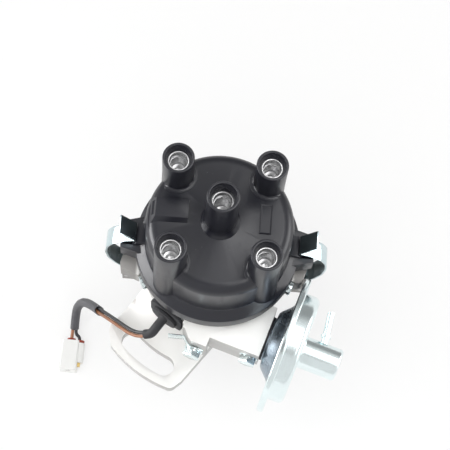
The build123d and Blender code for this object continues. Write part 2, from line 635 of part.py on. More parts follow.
with BuildPart() as cap:
    # rim, shelf, wall and dome, turned
    with BuildSketch(Plane.XZ):
        with BuildLine():
            FilletPolyline((cap_rim_r, rim_z), (cap_rim_r, shelf_low_z), (dome_r + 0.2, shelf_high_z),
                           (dome_r, dome_edge_z), (0, dome_z), radius=[0.7, 1.4, dome_edge_r])
            Polyline((0, dome_z), (0, rim_z), (cap_rim_r, rim_z))
        make_face()
    revolve(axis=Axis.Z)
    # lower parts of the towers, drafted towards their feet on the shelf
    for quarter in quarters:
        with BuildSketch(Plane(origin=polar(tower_pcd_r, quarter, 50))):
            Circle(tower_foot_r)
        extrude(amount=tower_split_z - 50, taper=degrees(atan2(tower_foot_r - tower_r, tower_split_z - 50)))
    turned([(0, 84), (9.9, 84), (9.3, 86.6), (8.1, 88.2), (tower_r, tower_split_z), (0, tower_split_z)])
    turned([(0, rim_z), (cap_rim_r, rim_z), (cap_rim_r, tower_split_z), (0, tower_split_z)],
           mode=Mode.INTERSECT)
    # lugs for the clips, with a channel between two guides and a seat for the clip's crest
    for side in (-1, 1):
        with BuildSketch(Plane.XY.offset(rim_z)):
            with BuildLine():
                Polyline(*[(side * x, y) for x, y in lug_half], *[(side * x, -y) for x, y in lug_half[::-1]],
                         close=True)
            make_face()
        extrude(amount=lug_top - rim_z)
        with BuildSketch(Plane.XY.offset(lug_floor)):
            with Locations((side * 44, 0)):
                Rectangle(16, lug_channel)
        extrude(amount=8, mode=Mode.SUBTRACT)
        with BuildSketch(Plane.XZ):
            with BuildLine():
                Polyline(*[(side * x, z) for x, z in lug_seat], close=True)
            make_face()
        extrude(amount=lug_channel / 2, both=True)
    # vent hood: a raised box with sloping sides and a slot in its outer end
    with BuildSketch(Plane.YZ.offset(hood_from)):
        with BuildLine():
            Polyline(*hood_section, close=True)
        make_face()
    extrude(amount=hood_to - hood_from)
    with BuildSketch(Plane.XZ.offset(-15)):
        with BuildLine():
            Polyline((hood_from - 1, 83.6), (hood_from, 83.6), (hood_from + 2.6, 88.2), (hood_from + 2.6, 89),
                     (hood_from - 1, 89), close=True)
        make_face()
    extrude(amount=25, mode=Mode.SUBTRACT)
    with BuildSketch(Plane.XY.offset(84.9)):
        with Locations((hood_from + 1.8, 4.1)):
            Rectangle(3.6, 7)
    extrude(amount=1.9, mode=Mode.SUBTRACT)
    # flat raised pad
    with BuildSketch(Plane.XY.offset(dome_edge_z - 2)):
        with Locations((sum(mark_x) / 2, sum(mark_y) / 2)):
            Rectangle(mark_x[1] - mark_x[0], mark_y[1] - mark_y[0])
    extrude(amount=mark_z - dome_edge_z + 2)
    # inside
    with BuildSketch(Plane.XZ):
        with BuildLine():
            FilletPolyline((32.6, rim_z - 1), (31.8, 82.2), (0, 82.9), radius=7)
            Polyline((0, 82.9), (0, rim_z - 1), (32.6, rim_z - 1))
        make_face()
    revolve(axis=Axis.Z, mode=Mode.SUBTRACT)
    # bosses round the terminals and the brush
    for quarter in quarters:
        with BuildSketch(Plane(origin=polar(tower_pcd_r, quarter, 73.5))):
            Circle(5.0)
        extrude(amount=9)
    with BuildSketch(Plane.XY.offset(76)):
        Circle(6.4)
    extrude(amount=8)
    # bores for the terminals
    for quarter in quarters:
        side_view, axis = tower_section(quarter)
        turned([(tower_pcd_r, 60), (tower_pcd_r + 3, 60), (tower_pcd_r + 3, insert_z),
                (tower_pcd_r + insert_r, insert_z), (tower_pcd_r + insert_r, tower_split_z + 1),
                (tower_pcd_r, tower_split_z + 1)],
               plane=side_view, axis=axis, mode=Mode.SUBTRACT)
    turned([(0, 70), (2.8, 70), (2.8, tower_split_z + 1), (0, tower_split_z + 1)], mode=Mode.SUBTRACT)
finish(cap, "cap")

with BuildPart() as cap_towers:
    for quarter in quarters:
        side_view, axis = tower_section(quarter)
        turned([(tower_pcd_r + r, z) for r, z in
                ((insert_r, tower_split_z), (tower_r, tower_split_z), (tower_r, tower_z), (mouth_r, tower_z),
                 (mouth_r, tower_z - 0.6), (insert_r, tower_z - mouth_deep))], plane=side_view, axis=axis)
    turned([(insert_r, tower_split_z), (tower_r, tower_split_z), (tower_r, centre_tower_z),
            (mouth_r, centre_tower_z), (mouth_r, centre_tower_z - 0.6),
            (insert_r, centre_tower_z - centre_mouth_deep)])
finish(cap_towers, "cap_towers")

with BuildPart() as cap_seal:
    turned([(35.3, 46.2), (36.9, 46.2), (36.9, rim_z), (35.3, rim_z)])
finish(cap_seal, "cap_seal")

# ---------------------------------------------------------------- terminals and brush
with BuildPart() as outer_terminals:
    for quarter in quarters:
        side_view, axis = tower_section(quarter)
        top = tower_z - mouth_deep
        turned([(tower_pcd_r + r, z) for r, z in
                ((0, post_z), (2.2, post_z), (3, post_z + 1.4), (3, insert_z), (insert_r, insert_z),
                 (insert_r, top), (insert_r - 0.8, top), (socket_r, top - 0.6), (socket_r, 91), (0, 91))],
               plane=side_view, axis=axis)
finish(outer_terminals, "outer_terminals")

with BuildPart() as centre_terminal:
    top = centre_tower_z - centre_mouth_deep
    turned([(0, tower_split_z), (insert_r, tower_split_z), (insert_r, top), (insert_r - 0.8, top),
            (socket_r, top - 0.6), (socket_r, 97), (0, 97)])
    with BuildSketch(Plane.XY.offset(tower_split_z)):
        Circle(2.8)
    extrude(amount=3, mode=Mode.SUBTRACT)
finish(centre_terminal, "centre_terminal")

brush_low, brush_top = 72.8, 81.0
with BuildPart() as carbon_brush:
    turned([(0, brush_low), (1.6, brush_low), (2.72, brush_low + 1.1), (2.72, brush_top), (0, brush_top)])
finish(carbon_brush, "carbon_brush")

with BuildPart() as brush_spring:
    spring_wire, spring_r = 0.5, 2.2
    spring_low, spring_high = brush_top + spring_wire / 2, 93 - spring_wire / 2
    with BuildLine():
        Helix(pitch=1.9, height=spring_high - spring_low, radius=spring_r, center=(0, 0, spring_low))
    with BuildSketch(Plane(origin=(spring_r, 0, spring_low), z_dir=(0, 1, 0))):
        RegularPolygon(spring_wire / 2, 6)
    sweep(is_frenet=True)
finish(brush_spring, "brush_spring")

# ---------------------------------------------------------------- vacuum unit
plate_u, plate_thick = 39.6, 1.5
cone_u = 40.2                         # blunt end of the back shell
crimp_u = 46.3                        # back of the crimped edge
diaphragm_u, diaphragm_t = 47.8, 0.7
clamp_r = 34.0                        # edge of what the crimp holds
rod_half, rod_thick = 3.0, 1.2

with BuildPart() as vacuum_gasket:
    with BuildSketch(vac_plane(boss_end)):
        Circle(bracket_r)
    extrude(amount=plate_u - boss_end)
    with BuildSketch(vac_plane(boss_end)):
        with Locations((0.6, 0)):
            Rectangle(12.2, 10)
    extrude(amount=2, mode=Mode.SUBTRACT)
finish(vacuum_gasket, "vacuum_gasket")

with BuildPart() as vacuum_back_shell:
    with BuildSketch(vac_plane(plate_u)):
        Circle(bracket_r)
    extrude(amount=plate_thick)
    # pressed shell: a blunt cone that opens into the clamped flange
    turned([(cone_u, 0), (cone_u, 13.4), (cone_u + 0.3, 14.3), (cone_u + 1.1, 15.4), (44.9, 18.9),
            (46.0, 20.4), (47.1, 30.5), (47.1, clamp_r), (diaphragm_u, clamp_r), (diaphragm_u, 30.0), (46.9, 20.6),
            (45.6, 18.6), (42.0, 15.1), (cone_u + 0.9, 13.6), (cone_u + 0.9, 0)],
           plane=vac_profile, axis=vac_axis)
    # hole for the rod
    with BuildSketch(vac_plane(plate_u)):
        Circle(4.4)
    extrude(amount=4, mode=Mode.SUBTRACT)
    # tongue into the housing's boss, tapped for the right front screw
    with BuildSketch(boss_plane(vac_z - 4.7)):
        with Locations(((28 + plate_u) / 2, -35.1)):
            Rectangle(plate_u - 28, 1.8)
    extrude(amount=9.4)
    with BuildSketch(Plane(origin=Vector(*along_vacuum(screw_r_u, -34.0, front_screw_z)), z_dir=-vac_n)):
        Circle(2.5)
    extrude(amount=3, mode=Mode.SUBTRACT)
finish(vacuum_back_shell, "vacuum_back_shell")

pipe_r, pipe_bore_r, pipe_z = 1.8, 1.0, vac_z + 2.5
pipe_root, pipe_tip = along_vacuum(66.4, -23.0, pipe_z), along_vacuum(64.4, -6.0, pipe_z)
hose_len, stop_r, stop_t = 12.0, 2.6, 1.2
pipe_plane = Plane(origin=pipe_root, z_dir=Vector(*pipe_tip) - Vector(*pipe_root))
pipe_len = (Vector(*pipe_tip) - Vector(*pipe_root)).length

with BuildPart() as vacuum_front_shell:
    with BuildSketch(vac_profile):
        with BuildLine():
            # edge rolled round the back shell's flange, the drum and the nozzle, then the inside back
            outer = FilletPolyline((crimp_u, 31.4), (crimp_u, flange_r), (drum_in, flange_r),
                                   (drum_in, drum_r), (drum_out, drum_r), (drum_out, nozzle_r),
                                   (nozzle_end, nozzle_r),
                                   (nozzle_end, 0), radius=[0.5, 0.5, 1.2, 3.2, 2.4, 1.6])
            inner = FilletPolyline((nozzle_end - 1, 0), (nozzle_end - 1, nozzle_r - 1.1),
                                   (drum_out - 1, nozzle_r - 1.1), (drum_out - 1, drum_r - 1),
                                   (drum_in - 0.9, drum_r - 1), (drum_in - 0.9, clamp_r + 0.3),
                                   (crimp_u + 0.6, clamp_r + 0.3),
                                   (crimp_u + 0.6, 31.4), radius=[0.6, 3.4, 2.2, 0.3, 0.2, 0.2])
            Line(outer @ 1, inner @ 0)
            Line(inner @ 1, outer @ 0)
        make_face()
    revolve(axis=vac_axis)
    with BuildSketch(pipe_plane):
        Circle(pipe_r)
    extrude(amount=5, mode=Mode.SUBTRACT)
finish(vacuum_front_shell, "vacuum_front_shell")

with BuildPart() as vacuum_pipe:
    with BuildSketch(pipe_plane):
        Circle(pipe_r)
        Circle(pipe_bore_r, mode=Mode.SUBTRACT)
    extrude(amount=pipe_len)
    # collar that stops the hose
    with BuildSketch(pipe_plane.offset(pipe_len - hose_len - stop_t)):
        Circle(stop_r)
        Circle(pipe_bore_r, mode=Mode.SUBTRACT)
    extrude(amount=stop_t)
finish(vacuum_pipe, "vacuum_pipe")

with BuildPart() as vacuum_rod:
    with BuildSketch(boss_plane(vac_z - rod_thick / 2)):
        with Locations((22, -vac_off)):
            Rectangle(44, 2 * rod_half)
        with Locations((0, -vac_off)):
            Circle(3.4)
            Circle(2.2, mode=Mode.SUBTRACT)
    extrude(amount=rod_thick)
    turned([(42.5, 0), (42.5, 2), (46.2, 2), (46.2, 6), (diaphragm_u, 6), (diaphragm_u, 2), (50.4, 2),
            (50.4, 0)],
           plane=vac_profile, axis=vac_axis)
finish(vacuum_rod, "vacuum_rod")

with BuildPart() as diaphragm:
    with BuildSketch(vac_plane(diaphragm_u)):
        Circle(clamp_r)
        Circle(2.0, mode=Mode.SUBTRACT)
    extrude(amount=diaphragm_t)
finish(diaphragm, "diaphragm")

cup_u = diaphragm_u + diaphragm_t
with BuildPart() as diaphragm_cup:
    turned([(cup_u, 2.0), (cup_u, 17), (cup_u + 2.4, 18), (cup_u + 2.4, 17.1), (cup_u + 0.9, 16.2),
            (cup_u + 0.9, 4.0), (cup_u + 2.2, 4.0), (cup_u + 2.2, 3.2), (cup_u + 0.9, 3.2),
            (cup_u + 0.9, 2.0)],
           plane=vac_profile, axis=vac_axis)
finish(diaphragm_cup, "diaphragm_cup")

vac_spring_r, vac_wire, vac_coils = 4.9, 1.0, 7
with BuildPart() as vacuum_spring:
    spring_from, spring_to = cup_u + 0.9 + vac_wire / 2, nozzle_end - 1 - vac_wire / 2
    with BuildLine() as coil:
        Helix(pitch=(spring_to - spring_from) / vac_coils, height=spring_to - spring_from,
              radius=vac_spring_r, center=vac_origin + vac_u * spring_from, direction=vac_u)
    with BuildSketch(Plane(origin=coil.line @ 0, z_dir=coil.line % 0)):
        RegularPolygon(vac_wire / 2, 6)
    sweep(is_frenet=True)
finish(vacuum_spring, "vacuum_spring")

# ---------------------------------------------------------------- front screws and earth tab
screw_af, washer_r = 8.0, 4.8
with BuildPart() as front_screws:
    for u, seat_n, deep in ((screw_l_u, -48.1, 10.2), (screw_r_u, -41.1, 7.6)):
        across = Plane(origin=Vector(*along_vacuum(u, seat_n, front_screw_z)), z_dir=-vac_n)
        with BuildSketch(across):
            Circle(2.5)
        extrude(amount=-deep)
        with BuildSketch(across):
            Circle(washer_r)
        extrude(amount=0.7)
        with BuildSketch(across.offset(0.7)):
            RegularPolygon(screw_af / 2, 6, major_radius=False)
        extrude(amount=3.2)
finish(front_screws, "front_screws")

tab_t, tab_w = 0.8, 6.3
tab_route = [along_vacuum(11.5, -47.7)[:2], along_vacuum(4.5, -47.7)[:2], along_vacuum(2.6, -46.6)[:2],
             (-12.6, -42.3), (-20.6, -42.2)]
with BuildPart() as earth_tab:
    with BuildSketch(Plane.XY.offset(front_screw_z - tab_w / 2)):
        with BuildLine():
            FilletPolyline(*tab_route, radius=[0.6, 0.6, 0.9])
        trace(line_width=tab_t)
    extrude(amount=tab_w)
    with BuildSketch(Plane(origin=Vector(*along_vacuum(screw_l_u, -46.0, front_screw_z)), z_dir=-vac_n)):
        Circle(2.5)
    extrude(amount=4, mode=Mode.SUBTRACT)
finish(earth_tab, "earth_tab")

# ---------------------------------------------------------------- clips
clip_line = [(47.4, 15.9), (48.2, 19.5), (51.2, 24.5), (54.0, 31.5), (55.0, 40), (54.2, 48), (51.2, 53.6),
             (46.0, 57.4), (39.7, 60.5), (47.5, 71)]
clip_bends = [5, 7, 12, 16, 12, 5, 9, 1.0]
for side, name in ((-1, "clip_left"), (1, "clip_right")):
    with BuildPart() as clip:
        with BuildSketch(Plane.XZ.offset(-clip_w / 2)):
            with BuildLine():
                FilletPolyline(*[(side * x, z) for x, z in clip_line], radius=clip_bends)
            trace(line_width=clip_t)
            with Locations((side * clip_pivot[0], clip_pivot[1])):
                Circle(2.6)
                Circle(clip_pin_r + 0.05, mode=Mode.SUBTRACT)
        extrude(amount=clip_w)
    finish(clip, name)

with BuildPart() as clip_pins:
    for side in (-1, 1):
        with BuildSketch(Plane(origin=(side * clip_pivot[0], clip_pin_y, clip_pivot[1]), z_dir=(0, -1, 0))):
            Circle(clip_pin_r)
        extrude(amount=clip_pin_len)
finish(clip_pins, "clip_pins")

# ---------------------------------------------------------------- grommet
boot_r, boot_bore_r = 2.4, 2.05
boot_out = Vector(-0.83, -0.02, -0.555).normalized()
boot_end = Vector(-32.3, -41.5, 26.4)
boot_root = Vector(*polar(41.2, grommet_angle, grommet_z))
flange_in_r = 32.4
boot_line = [tuple(boot_root), (-26.67, -38.8, 32.1), tuple(boot_end - boot_out * 4), tuple(boot_end)]
socket_deep = 2.4

with BuildPart() as grommet:
    # inner flange, kept inside the bowl's wall
    with BuildSketch(radial_plane(grommet_angle, 30, grommet_z)):
        Circle(8.4)
    extrude(amount=4)
    turned([(0, 20), (bowl_r, 20), (bowl_r, 45), (0, 45)], mode=Mode.INTERSECT)
    # body in the notch
    with BuildSketch(radial_plane(grommet_angle, 31.6, grommet_z)):
        Circle(grommet_w / 2 - 0.03)
        with Locations((0, 5)):
            Rectangle(grommet_w - 0.06, 10)
    extrude(amount=rim_r - 31.6)
    # nothing reaches in to the moving plate
    with BuildSketch(Plane.XY.offset(20)):
        Circle(flange_in_r)
    extrude(amount=30, mode=Mode.SUBTRACT)
    with BuildSketch(radial_plane(grommet_angle, 34.6, grommet_z)):
        with Locations((0, 6.5)):
            Rectangle(grommet_w - 0.06, 13)
    extrude(amount=rim_r - 34.6)
    # outer flange and second disc
    with BuildSketch(radial_plane(grommet_angle, rim_r, grommet_z)):
        RectangleRounded(19, 18, 4)
    extrude(amount=1.8)
    with BuildSketch(radial_plane(grommet_angle, rim_r, grommet_z)):
        Circle(5.5)
    extrude(amount=3)
    with BuildSketch(radial_plane(grommet_angle, rim_r + 2.2, grommet_z)):
        Circle(7.2)
    extrude(amount=1.4)
    # boot
    with BuildLine():
        FilletPolyline(*boot_line, radius=[6.2, 5.2])
    with BuildSketch(Plane(origin=boot_root, z_dir=Vector(*boot_line[1]) - boot_root)):
        Circle(boot_r)
    sweep()
    with BuildSketch(Plane(origin=boot_end - boot_out * socket_deep, z_dir=boot_out)):
        Circle(boot_bore_r)
    extrude(amount=socket_deep + 1, mode=Mode.SUBTRACT)
finish(grommet, "grommet")

# ---------------------------------------------------------------- lead
wire_r, wire_half_gap = 0.9, 0.95
wire_side = Vector(0.45, 0.75, 0.45)    # from the brown wire to the black one
lead_route = [tuple(boot_end - boot_out * socket_deep), tuple(boot_end + boot_out * 3.1),
              (-39.6, -39.5, 20.9), (-43.5, -36.6, 17.5), (-48.4, -32.5, 12.5), (-52.9, -28.4, 6.0),
              (-57.4, -24.2, -1.5), (-62.9, -18.4, -11.0), (-68.2, -13.8, -21.0), (-71.8, -12.6, -30.5),
              (-74.0, -14.6, -39.3), (-74.2, -22.6, -45.7)]
plug_z = -46.4
brown_seal_y, black_seal_y, seal_deep = -30.0, -30.9, 4.0     # rear faces of the two ways
brown_end = [(-75.2, -26.4, plug_z), (-75.2, brown_seal_y - seal_deep, plug_z)]
black_end = [(-73.2, -25.6, plug_z), (-70.3, -27.6, plug_z), (-70.3, black_seal_y - seal_deep, plug_z)]
sleeve_from = (-58.5, -23.04, -3.4)
sleeve_to = (-74.2, -24.7, -46.2)


def beside(route, shift):
    """The route moved sideways, square to its direction at each point."""
    spots = [Vector(*spot) for spot in route]
    moved = []
    for i, spot in enumerate(spots):
        along = (spots[min(i + 1, len(spots) - 1)] - spots[max(i - 1, 0)]).normalized()
        square = (wire_side - along * wire_side.dot(along)).normalized()
        moved.append(tuple(spot + square * shift))
    return moved


def bend_radii(route):
    """Each bend as wide as its two runs allow."""
    spots = [Vector(*spot) for spot in route]
    radii = []
    for before, here, after in zip(spots, spots[1:], spots[2:]):
        turn = (here - before).get_angle(after - here)
        shorter = min((here - before).length, (after - here).length)
        radii.append(0.45 * shorter / tan(radians(turn / 2)))
    return radii


def cord(route, section_r, bore_r=0.0):
    """A tube along straight runs joined by tangent arcs."""
    radii = bend_radii(route)
    with BuildPart() as tube:
        with BuildLine() as path:
            FilletPolyline(*route, radius=radii)
        with BuildSketch(Plane(origin=route[0], z_dir=path.line % 0)):
            Circle(section_r)
            if bore_r:
                Circle(bore_r, mode=Mode.SUBTRACT)
        sweep()
    area = pi * (section_r ** 2 - bore_r ** 2)
    length = path.wires()[0].length
    print("radii", [round(r, 1) for r in radii], "length", round(length, 1),
          "volume ratio", round(tube.part.volume / (area * length), 4))
    return tube


brown_route = beside(lead_route, -wire_half_gap) + brown_end
black_route = beside(lead_route, wire_half_gap) + black_end
lead_wire_brown = cord(brown_route, wire_r)
finish(lead_wire_brown, "lead_wire_brown")
lead_wire_black = cord(black_route, wire_r)
finish(lead_wire_black, "lead_wire_black")
lead_sleeve = cord([sleeve_from] + lead_route[7:] + [sleeve_to], boot_r, boot_bore_r)
finish(lead_sleeve, "lead_sleeve")

# ---------------------------------------------------------------- connector on the lead
plug_x, plug_y = (-80.0, -70.6), (-46.5, brown_seal_y)
plug_low, plug_high = -51.0, -42.0
lobe_r, lobe_len = 2.8, 11.0
cavity_r, collar_r, collar_len = 1.95, 2.3, 1.6
entries = [(brown_end[-1], brown_seal_y), (black_end[-1], black_seal_y)]

with BuildPart() as connector_housing:
    with BuildSketch(Plane.XY.offset(plug_low)):
        with Locations((sum(plug_x) / 2, sum(plug_y) / 2)):
            Rectangle(plug_x[1] - plug_x[0], plug_y[1] - plug_y[0])
    extrude(amount=plug_high - plug_low)
    fillet(connector_housing.edges().filter_by(Axis.Y), 1.2)
    # barrel of the second way, set in behind the block's rear face
    with BuildSketch(Plane(origin=(black_end[-1][0], black_seal_y, plug_z), z_dir=(0, 1, 0))):
        Circle(lobe_r)
    extrude(amount=2, mode=Mode.SUBTRACT)
    with BuildSketch(Plane(origin=(black_end[-1][0], black_seal_y, plug_z), z_dir=(0, -1, 0))):
        Circle(lobe_r)
    extrude(amount=lobe_len)
    # cavities: round at the seals, square towards the mating face
    for (x, _, z), rear_y in entries:
        with BuildSketch(Plane(origin=(x, rear_y, z), z_dir=(0, -1, 0))):
            Circle(cavity_r)
        extrude(amount=seal_deep, mode=Mode.SUBTRACT)
        with BuildSketch(Plane(origin=(x, rear_y, z), z_dir=(0, -1, 0))):
            Rectangle(2.6, 2.6)
        extrude(amount=rear_y - plug_y[0] + 1, mode=Mode.SUBTRACT)
finish(connector_housing, "connector_housing")

with BuildPart() as connector_seals:
    for (x, _, z), rear_y in entries:
        rear = Plane(origin=(x, rear_y, z), z_dir=(0, -1, 0))
        with BuildSketch(rear):
            Circle(cavity_r)
            Circle(wire_r, mode=Mode.SUBTRACT)
        extrude(amount=seal_deep)
        with BuildSketch(rear.offset(-collar_len)):
            Circle(collar_r)
            Circle(wire_r, mode=Mode.SUBTRACT)
        extrude(amount=collar_len)
finish(connector_seals, "connector_seals")

with BuildPart() as connector_terminals:
    for (x, _, z), rear_y in entries:
        with BuildSketch(Plane(origin=(x, rear_y - seal_deep, z), z_dir=(0, -1, 0))):
            Rectangle(2.4, 2.4)
        extrude(amount=9)
finish(connector_terminals, "connector_terminals")
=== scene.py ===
# Ignition distributor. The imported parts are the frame, and this script dresses them.
import json
import math

import bmesh
import bpy
from mathutils import Matrix, Quaternion, Vector

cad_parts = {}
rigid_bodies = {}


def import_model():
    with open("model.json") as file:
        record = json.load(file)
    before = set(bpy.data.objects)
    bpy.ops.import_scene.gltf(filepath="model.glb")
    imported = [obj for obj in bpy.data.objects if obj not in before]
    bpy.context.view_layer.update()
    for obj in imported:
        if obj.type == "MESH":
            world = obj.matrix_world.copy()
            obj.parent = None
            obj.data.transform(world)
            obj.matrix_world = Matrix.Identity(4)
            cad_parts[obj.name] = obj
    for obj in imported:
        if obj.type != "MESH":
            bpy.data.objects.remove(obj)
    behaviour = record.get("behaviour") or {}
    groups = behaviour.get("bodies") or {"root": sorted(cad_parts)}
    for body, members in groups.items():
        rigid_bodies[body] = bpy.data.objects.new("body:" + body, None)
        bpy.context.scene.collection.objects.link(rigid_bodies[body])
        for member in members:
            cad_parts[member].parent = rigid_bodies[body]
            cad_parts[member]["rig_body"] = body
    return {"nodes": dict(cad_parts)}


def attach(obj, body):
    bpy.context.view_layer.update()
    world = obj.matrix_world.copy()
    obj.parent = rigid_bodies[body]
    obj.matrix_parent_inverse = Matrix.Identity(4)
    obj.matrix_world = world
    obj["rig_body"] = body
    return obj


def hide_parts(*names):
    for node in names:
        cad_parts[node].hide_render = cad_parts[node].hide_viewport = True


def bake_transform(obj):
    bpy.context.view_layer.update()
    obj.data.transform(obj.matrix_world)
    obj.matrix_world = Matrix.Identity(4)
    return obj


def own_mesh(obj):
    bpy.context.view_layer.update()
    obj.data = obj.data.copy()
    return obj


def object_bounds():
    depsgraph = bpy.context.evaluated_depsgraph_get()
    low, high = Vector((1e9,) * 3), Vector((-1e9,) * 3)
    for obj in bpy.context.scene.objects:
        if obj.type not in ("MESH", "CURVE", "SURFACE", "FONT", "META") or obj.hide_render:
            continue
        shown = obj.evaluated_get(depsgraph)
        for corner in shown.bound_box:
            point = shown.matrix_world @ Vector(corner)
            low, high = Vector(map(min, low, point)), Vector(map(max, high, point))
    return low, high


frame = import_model()
cadLow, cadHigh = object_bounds()
nodes = frame["nodes"]
mm = 0.001
print("frame loaded:", len(nodes), "nodes")


# camera: high above, turned a little, looking down the shaft
view = {
    "aim": (0.0, 0.0, 87.0),
    "distance": 600.0,
    "azimuth": -2.5,
    "elevation": 70.0,
    "roll": 7.1,
    "focalPixels": 1286.2,
    "imageSide": 450,
    "aimPixel": (220.51, 220.53),
}


def makeCamera():
    azimuth, elevation = math.radians(view["azimuth"]), math.radians(view["elevation"])
    back = Vector((math.sin(azimuth) * math.cos(elevation), -math.cos(azimuth) * math.cos(elevation),
                   math.sin(elevation)))
    lens = bpy.data.cameras.new("camera")
    lens.lens = view["focalPixels"] / view["imageSide"] * lens.sensor_width
    half = view["imageSide"] / 2
    lens.shift_x = (half - view["aimPixel"][0]) / view["imageSide"]
    lens.shift_y = (view["aimPixel"][1] - half) / view["imageSide"]
    lens.clip_start, lens.clip_end = 0.05, 20
    camera = bpy.data.objects.new("camera", lens)
    camera.rotation_mode = "QUATERNION"
    level = (-back).to_track_quat("-Z", "Y")
    camera.rotation_quaternion = level @ Quaternion((0, 0, 1), math.radians(view["roll"]))
    camera.location = Vector(view["aim"]) * mm + back * view["distance"] * mm
    bpy.context.scene.collection.objects.link(camera)
    bpy.context.scene.camera = camera


makeCamera()
print("camera set")


# shader maths: a wrapped socket takes part in sums and products
class Value:
    def __init__(self, finish, socket):
        self.finish, self.socket = finish, socket

    def __add__(self, other):
        return self.finish.maths("ADD", self, other)

    def __radd__(self, other):
        return self.finish.maths("ADD", other, self)

    def __sub__(self, other):
        return self.finish.maths("SUBTRACT", self, other)

    def __rsub__(self, other):
        return self.finish.maths("SUBTRACT", other, self)

    def __mul__(self, other):
        return self.finish.maths("MULTIPLY", self, other)

    def __rmul__(self, other):
        return self.finish.maths("MULTIPLY", other, self)

    def over(self, edge, soft):
        return self.finish.node("ShaderNodeMapRange", {"clamp": True},
                                {0: self, 1: edge, 2: edge + soft, 3: 0.0, 4: 1.0})


class Nodes:
    def __init__(self, holder):
        holder.use_nodes = True
        self.tree = holder.node_tree
        self.tree.nodes.clear()

    # any node: its type, then its settings, then what goes into its sockets
    def node(self, kind, settings=None, inputs=None, pick=0):
        made = self.tree.nodes.new(kind)
        for key, value in (settings or {}).items():
            if key == "stops":
                ramp = made.color_ramp.elements
                while len(ramp) < len(value):
                    ramp.new(0.5)
                for element, (position, colour) in zip(ramp, value):
                    element.position, element.color = position, (*colour, 1.0)
            else:
                setattr(made, key, value)
        for key, value in (inputs or {}).items():
            self.feed(made.inputs[key], value)
        return Value(self, made.outputs[pick])

    def feed(self, socket, value):
        if isinstance(value, Value):
            self.tree.links.new(value.socket, socket)
        elif isinstance(value, tuple) and len(value) == 3 and socket.type == "RGBA":
            socket.default_value = (*value, 1.0)
        else:
            socket.default_value = value

    def maths(self, operation, first, second):
        return self.node("ShaderNodeMath", {"operation": operation}, {0: first, 1: second})


class Finish(Nodes):
    def __init__(self, name):
        self.material = bpy.data.materials.new(name)
        super().__init__(self.material)
        self.shader = self.tree.nodes.new("ShaderNodeBsdfPrincipled")
        self.out = self.tree.nodes.new("ShaderNodeOutputMaterial")
        self.tree.links.new(self.shader.outputs[0], self.out.inputs[0])
        self.place = self.node("ShaderNodeTexCoord", pick="Object")

    def stretched(self, scale):
        return self.node("ShaderNodeMapping", inputs={0: self.place, 3: scale})

    def noise(self, scale, detail=3.0, rough=0.55, place=None, warp=0.0):
        return self.node("ShaderNodeTexNoise", inputs={"Vector": place or self.place, "Scale": scale,
                         "Detail": detail, "Roughness": rough, "Distortion": warp})

    def cells(self, scale):
        return self.node("ShaderNodeTexVoronoi", inputs={"Vector": self.place, "Scale": scale})

    def blend(self, share, low, high):
        return self.node("ShaderNodeMix", {"data_type": "RGBA"}, {0: share, 6: low, 7: high}, pick=2)

    def bump(self, height, distance, strength):
        return self.node("ShaderNodeBump", inputs={"Height": height, "Distance": distance,
                                                   "Strength": strength})

    def set(self, **sockets):
        names = {"colour": "Base Color", "roughness": "Roughness", "metallic": "Metallic", "normal": "Normal"}
        for key, value in sockets.items():
            self.feed(self.shader.inputs[names[key]], value)
        return self.material


# finishes
# where the painted shade of the ears under the cap's lugs and clips lies
earShadeMask = {
    "side": 0.0385,         # ears lie this far out along X, in metres
    "sideSoft": 0.0001,     # softness of that edge, in square metres
    "front": -0.022,        # and behind this along Y
    "frontSoft": 0.003,
}


def castAluminium():
    f = Finish("castAluminium")
    e = earShadeMask
    grain = f.noise(1400, 4, 0.6)
    cloud = f.noise(60, 3)
    pores = f.cells(900).over(0.10, 0.10)
    # painted light: upward faces get the bright colour as a painted lit top, drafted walls get the darker
    # colour as painted shade, and the ears under the cap's lugs and clips are painted dark as their shade
    normal = f.node("ShaderNodeTexCoord", pick="Normal")
    facing = f.node("ShaderNodeSeparateXYZ", inputs={0: normal}, pick="Z")
    x, y = (f.node("ShaderNodeSeparateXYZ", inputs={0: f.place}, pick=axis) for axis in "XY")
    earShade = (x * x).over(e["side"] ** 2, e["sideSoft"]) * y.over(e["front"], e["frontSoft"])
    # the darker colour is painted shade on walls and ears, the brighter one a painted lit top
    skinAndPaintedShade = f.blend(cloud, (0.46, 0.45, 0.435), (0.58, 0.57, 0.555))
    paintedLitTop = f.blend(cloud, (0.82, 0.815, 0.795), (0.90, 0.895, 0.875))
    cast = f.blend(facing.over(0.45, 0.35) * (1.0 - 0.9 * earShade), skinAndPaintedShade, paintedLitTop)
    # the ears are darkened further towards dark grey: painted shade under the cap's lugs and clips
    return f.set(colour=f.blend(0.8 * earShade, cast, (0.27, 0.26, 0.25)),
                 metallic=0.3, roughness=0.42 + 0.14 * grain - 0.06 * cloud,
                 normal=f.bump(grain + 0.5 * pores, 0.00010, 0.35))


def phenolic():
    f = Finish("blackPhenolic")
    haze = f.noise(45, 4, 0.6)
    fleck = f.noise(2600, 2)
    scuff = f.noise(220, 5, 0.7, f.stretched((1.0, 1.0, 0.25)))
    dust = (1.0 - f.cells(420).over(0.05, 0.05)) * f.noise(60, 3).over(0.56, 0.1)
    black = f.blend(haze, (0.010, 0.0105, 0.0145), (0.020, 0.0205, 0.028))
    return f.set(colour=f.blend(dust, black, (0.10, 0.10, 0.11)),
                 roughness=0.24 + 0.12 * haze + 0.10 * scuff.over(0.55, 0.2),
                 normal=f.bump(0.6 * fleck + scuff, 0.00004, 0.35))


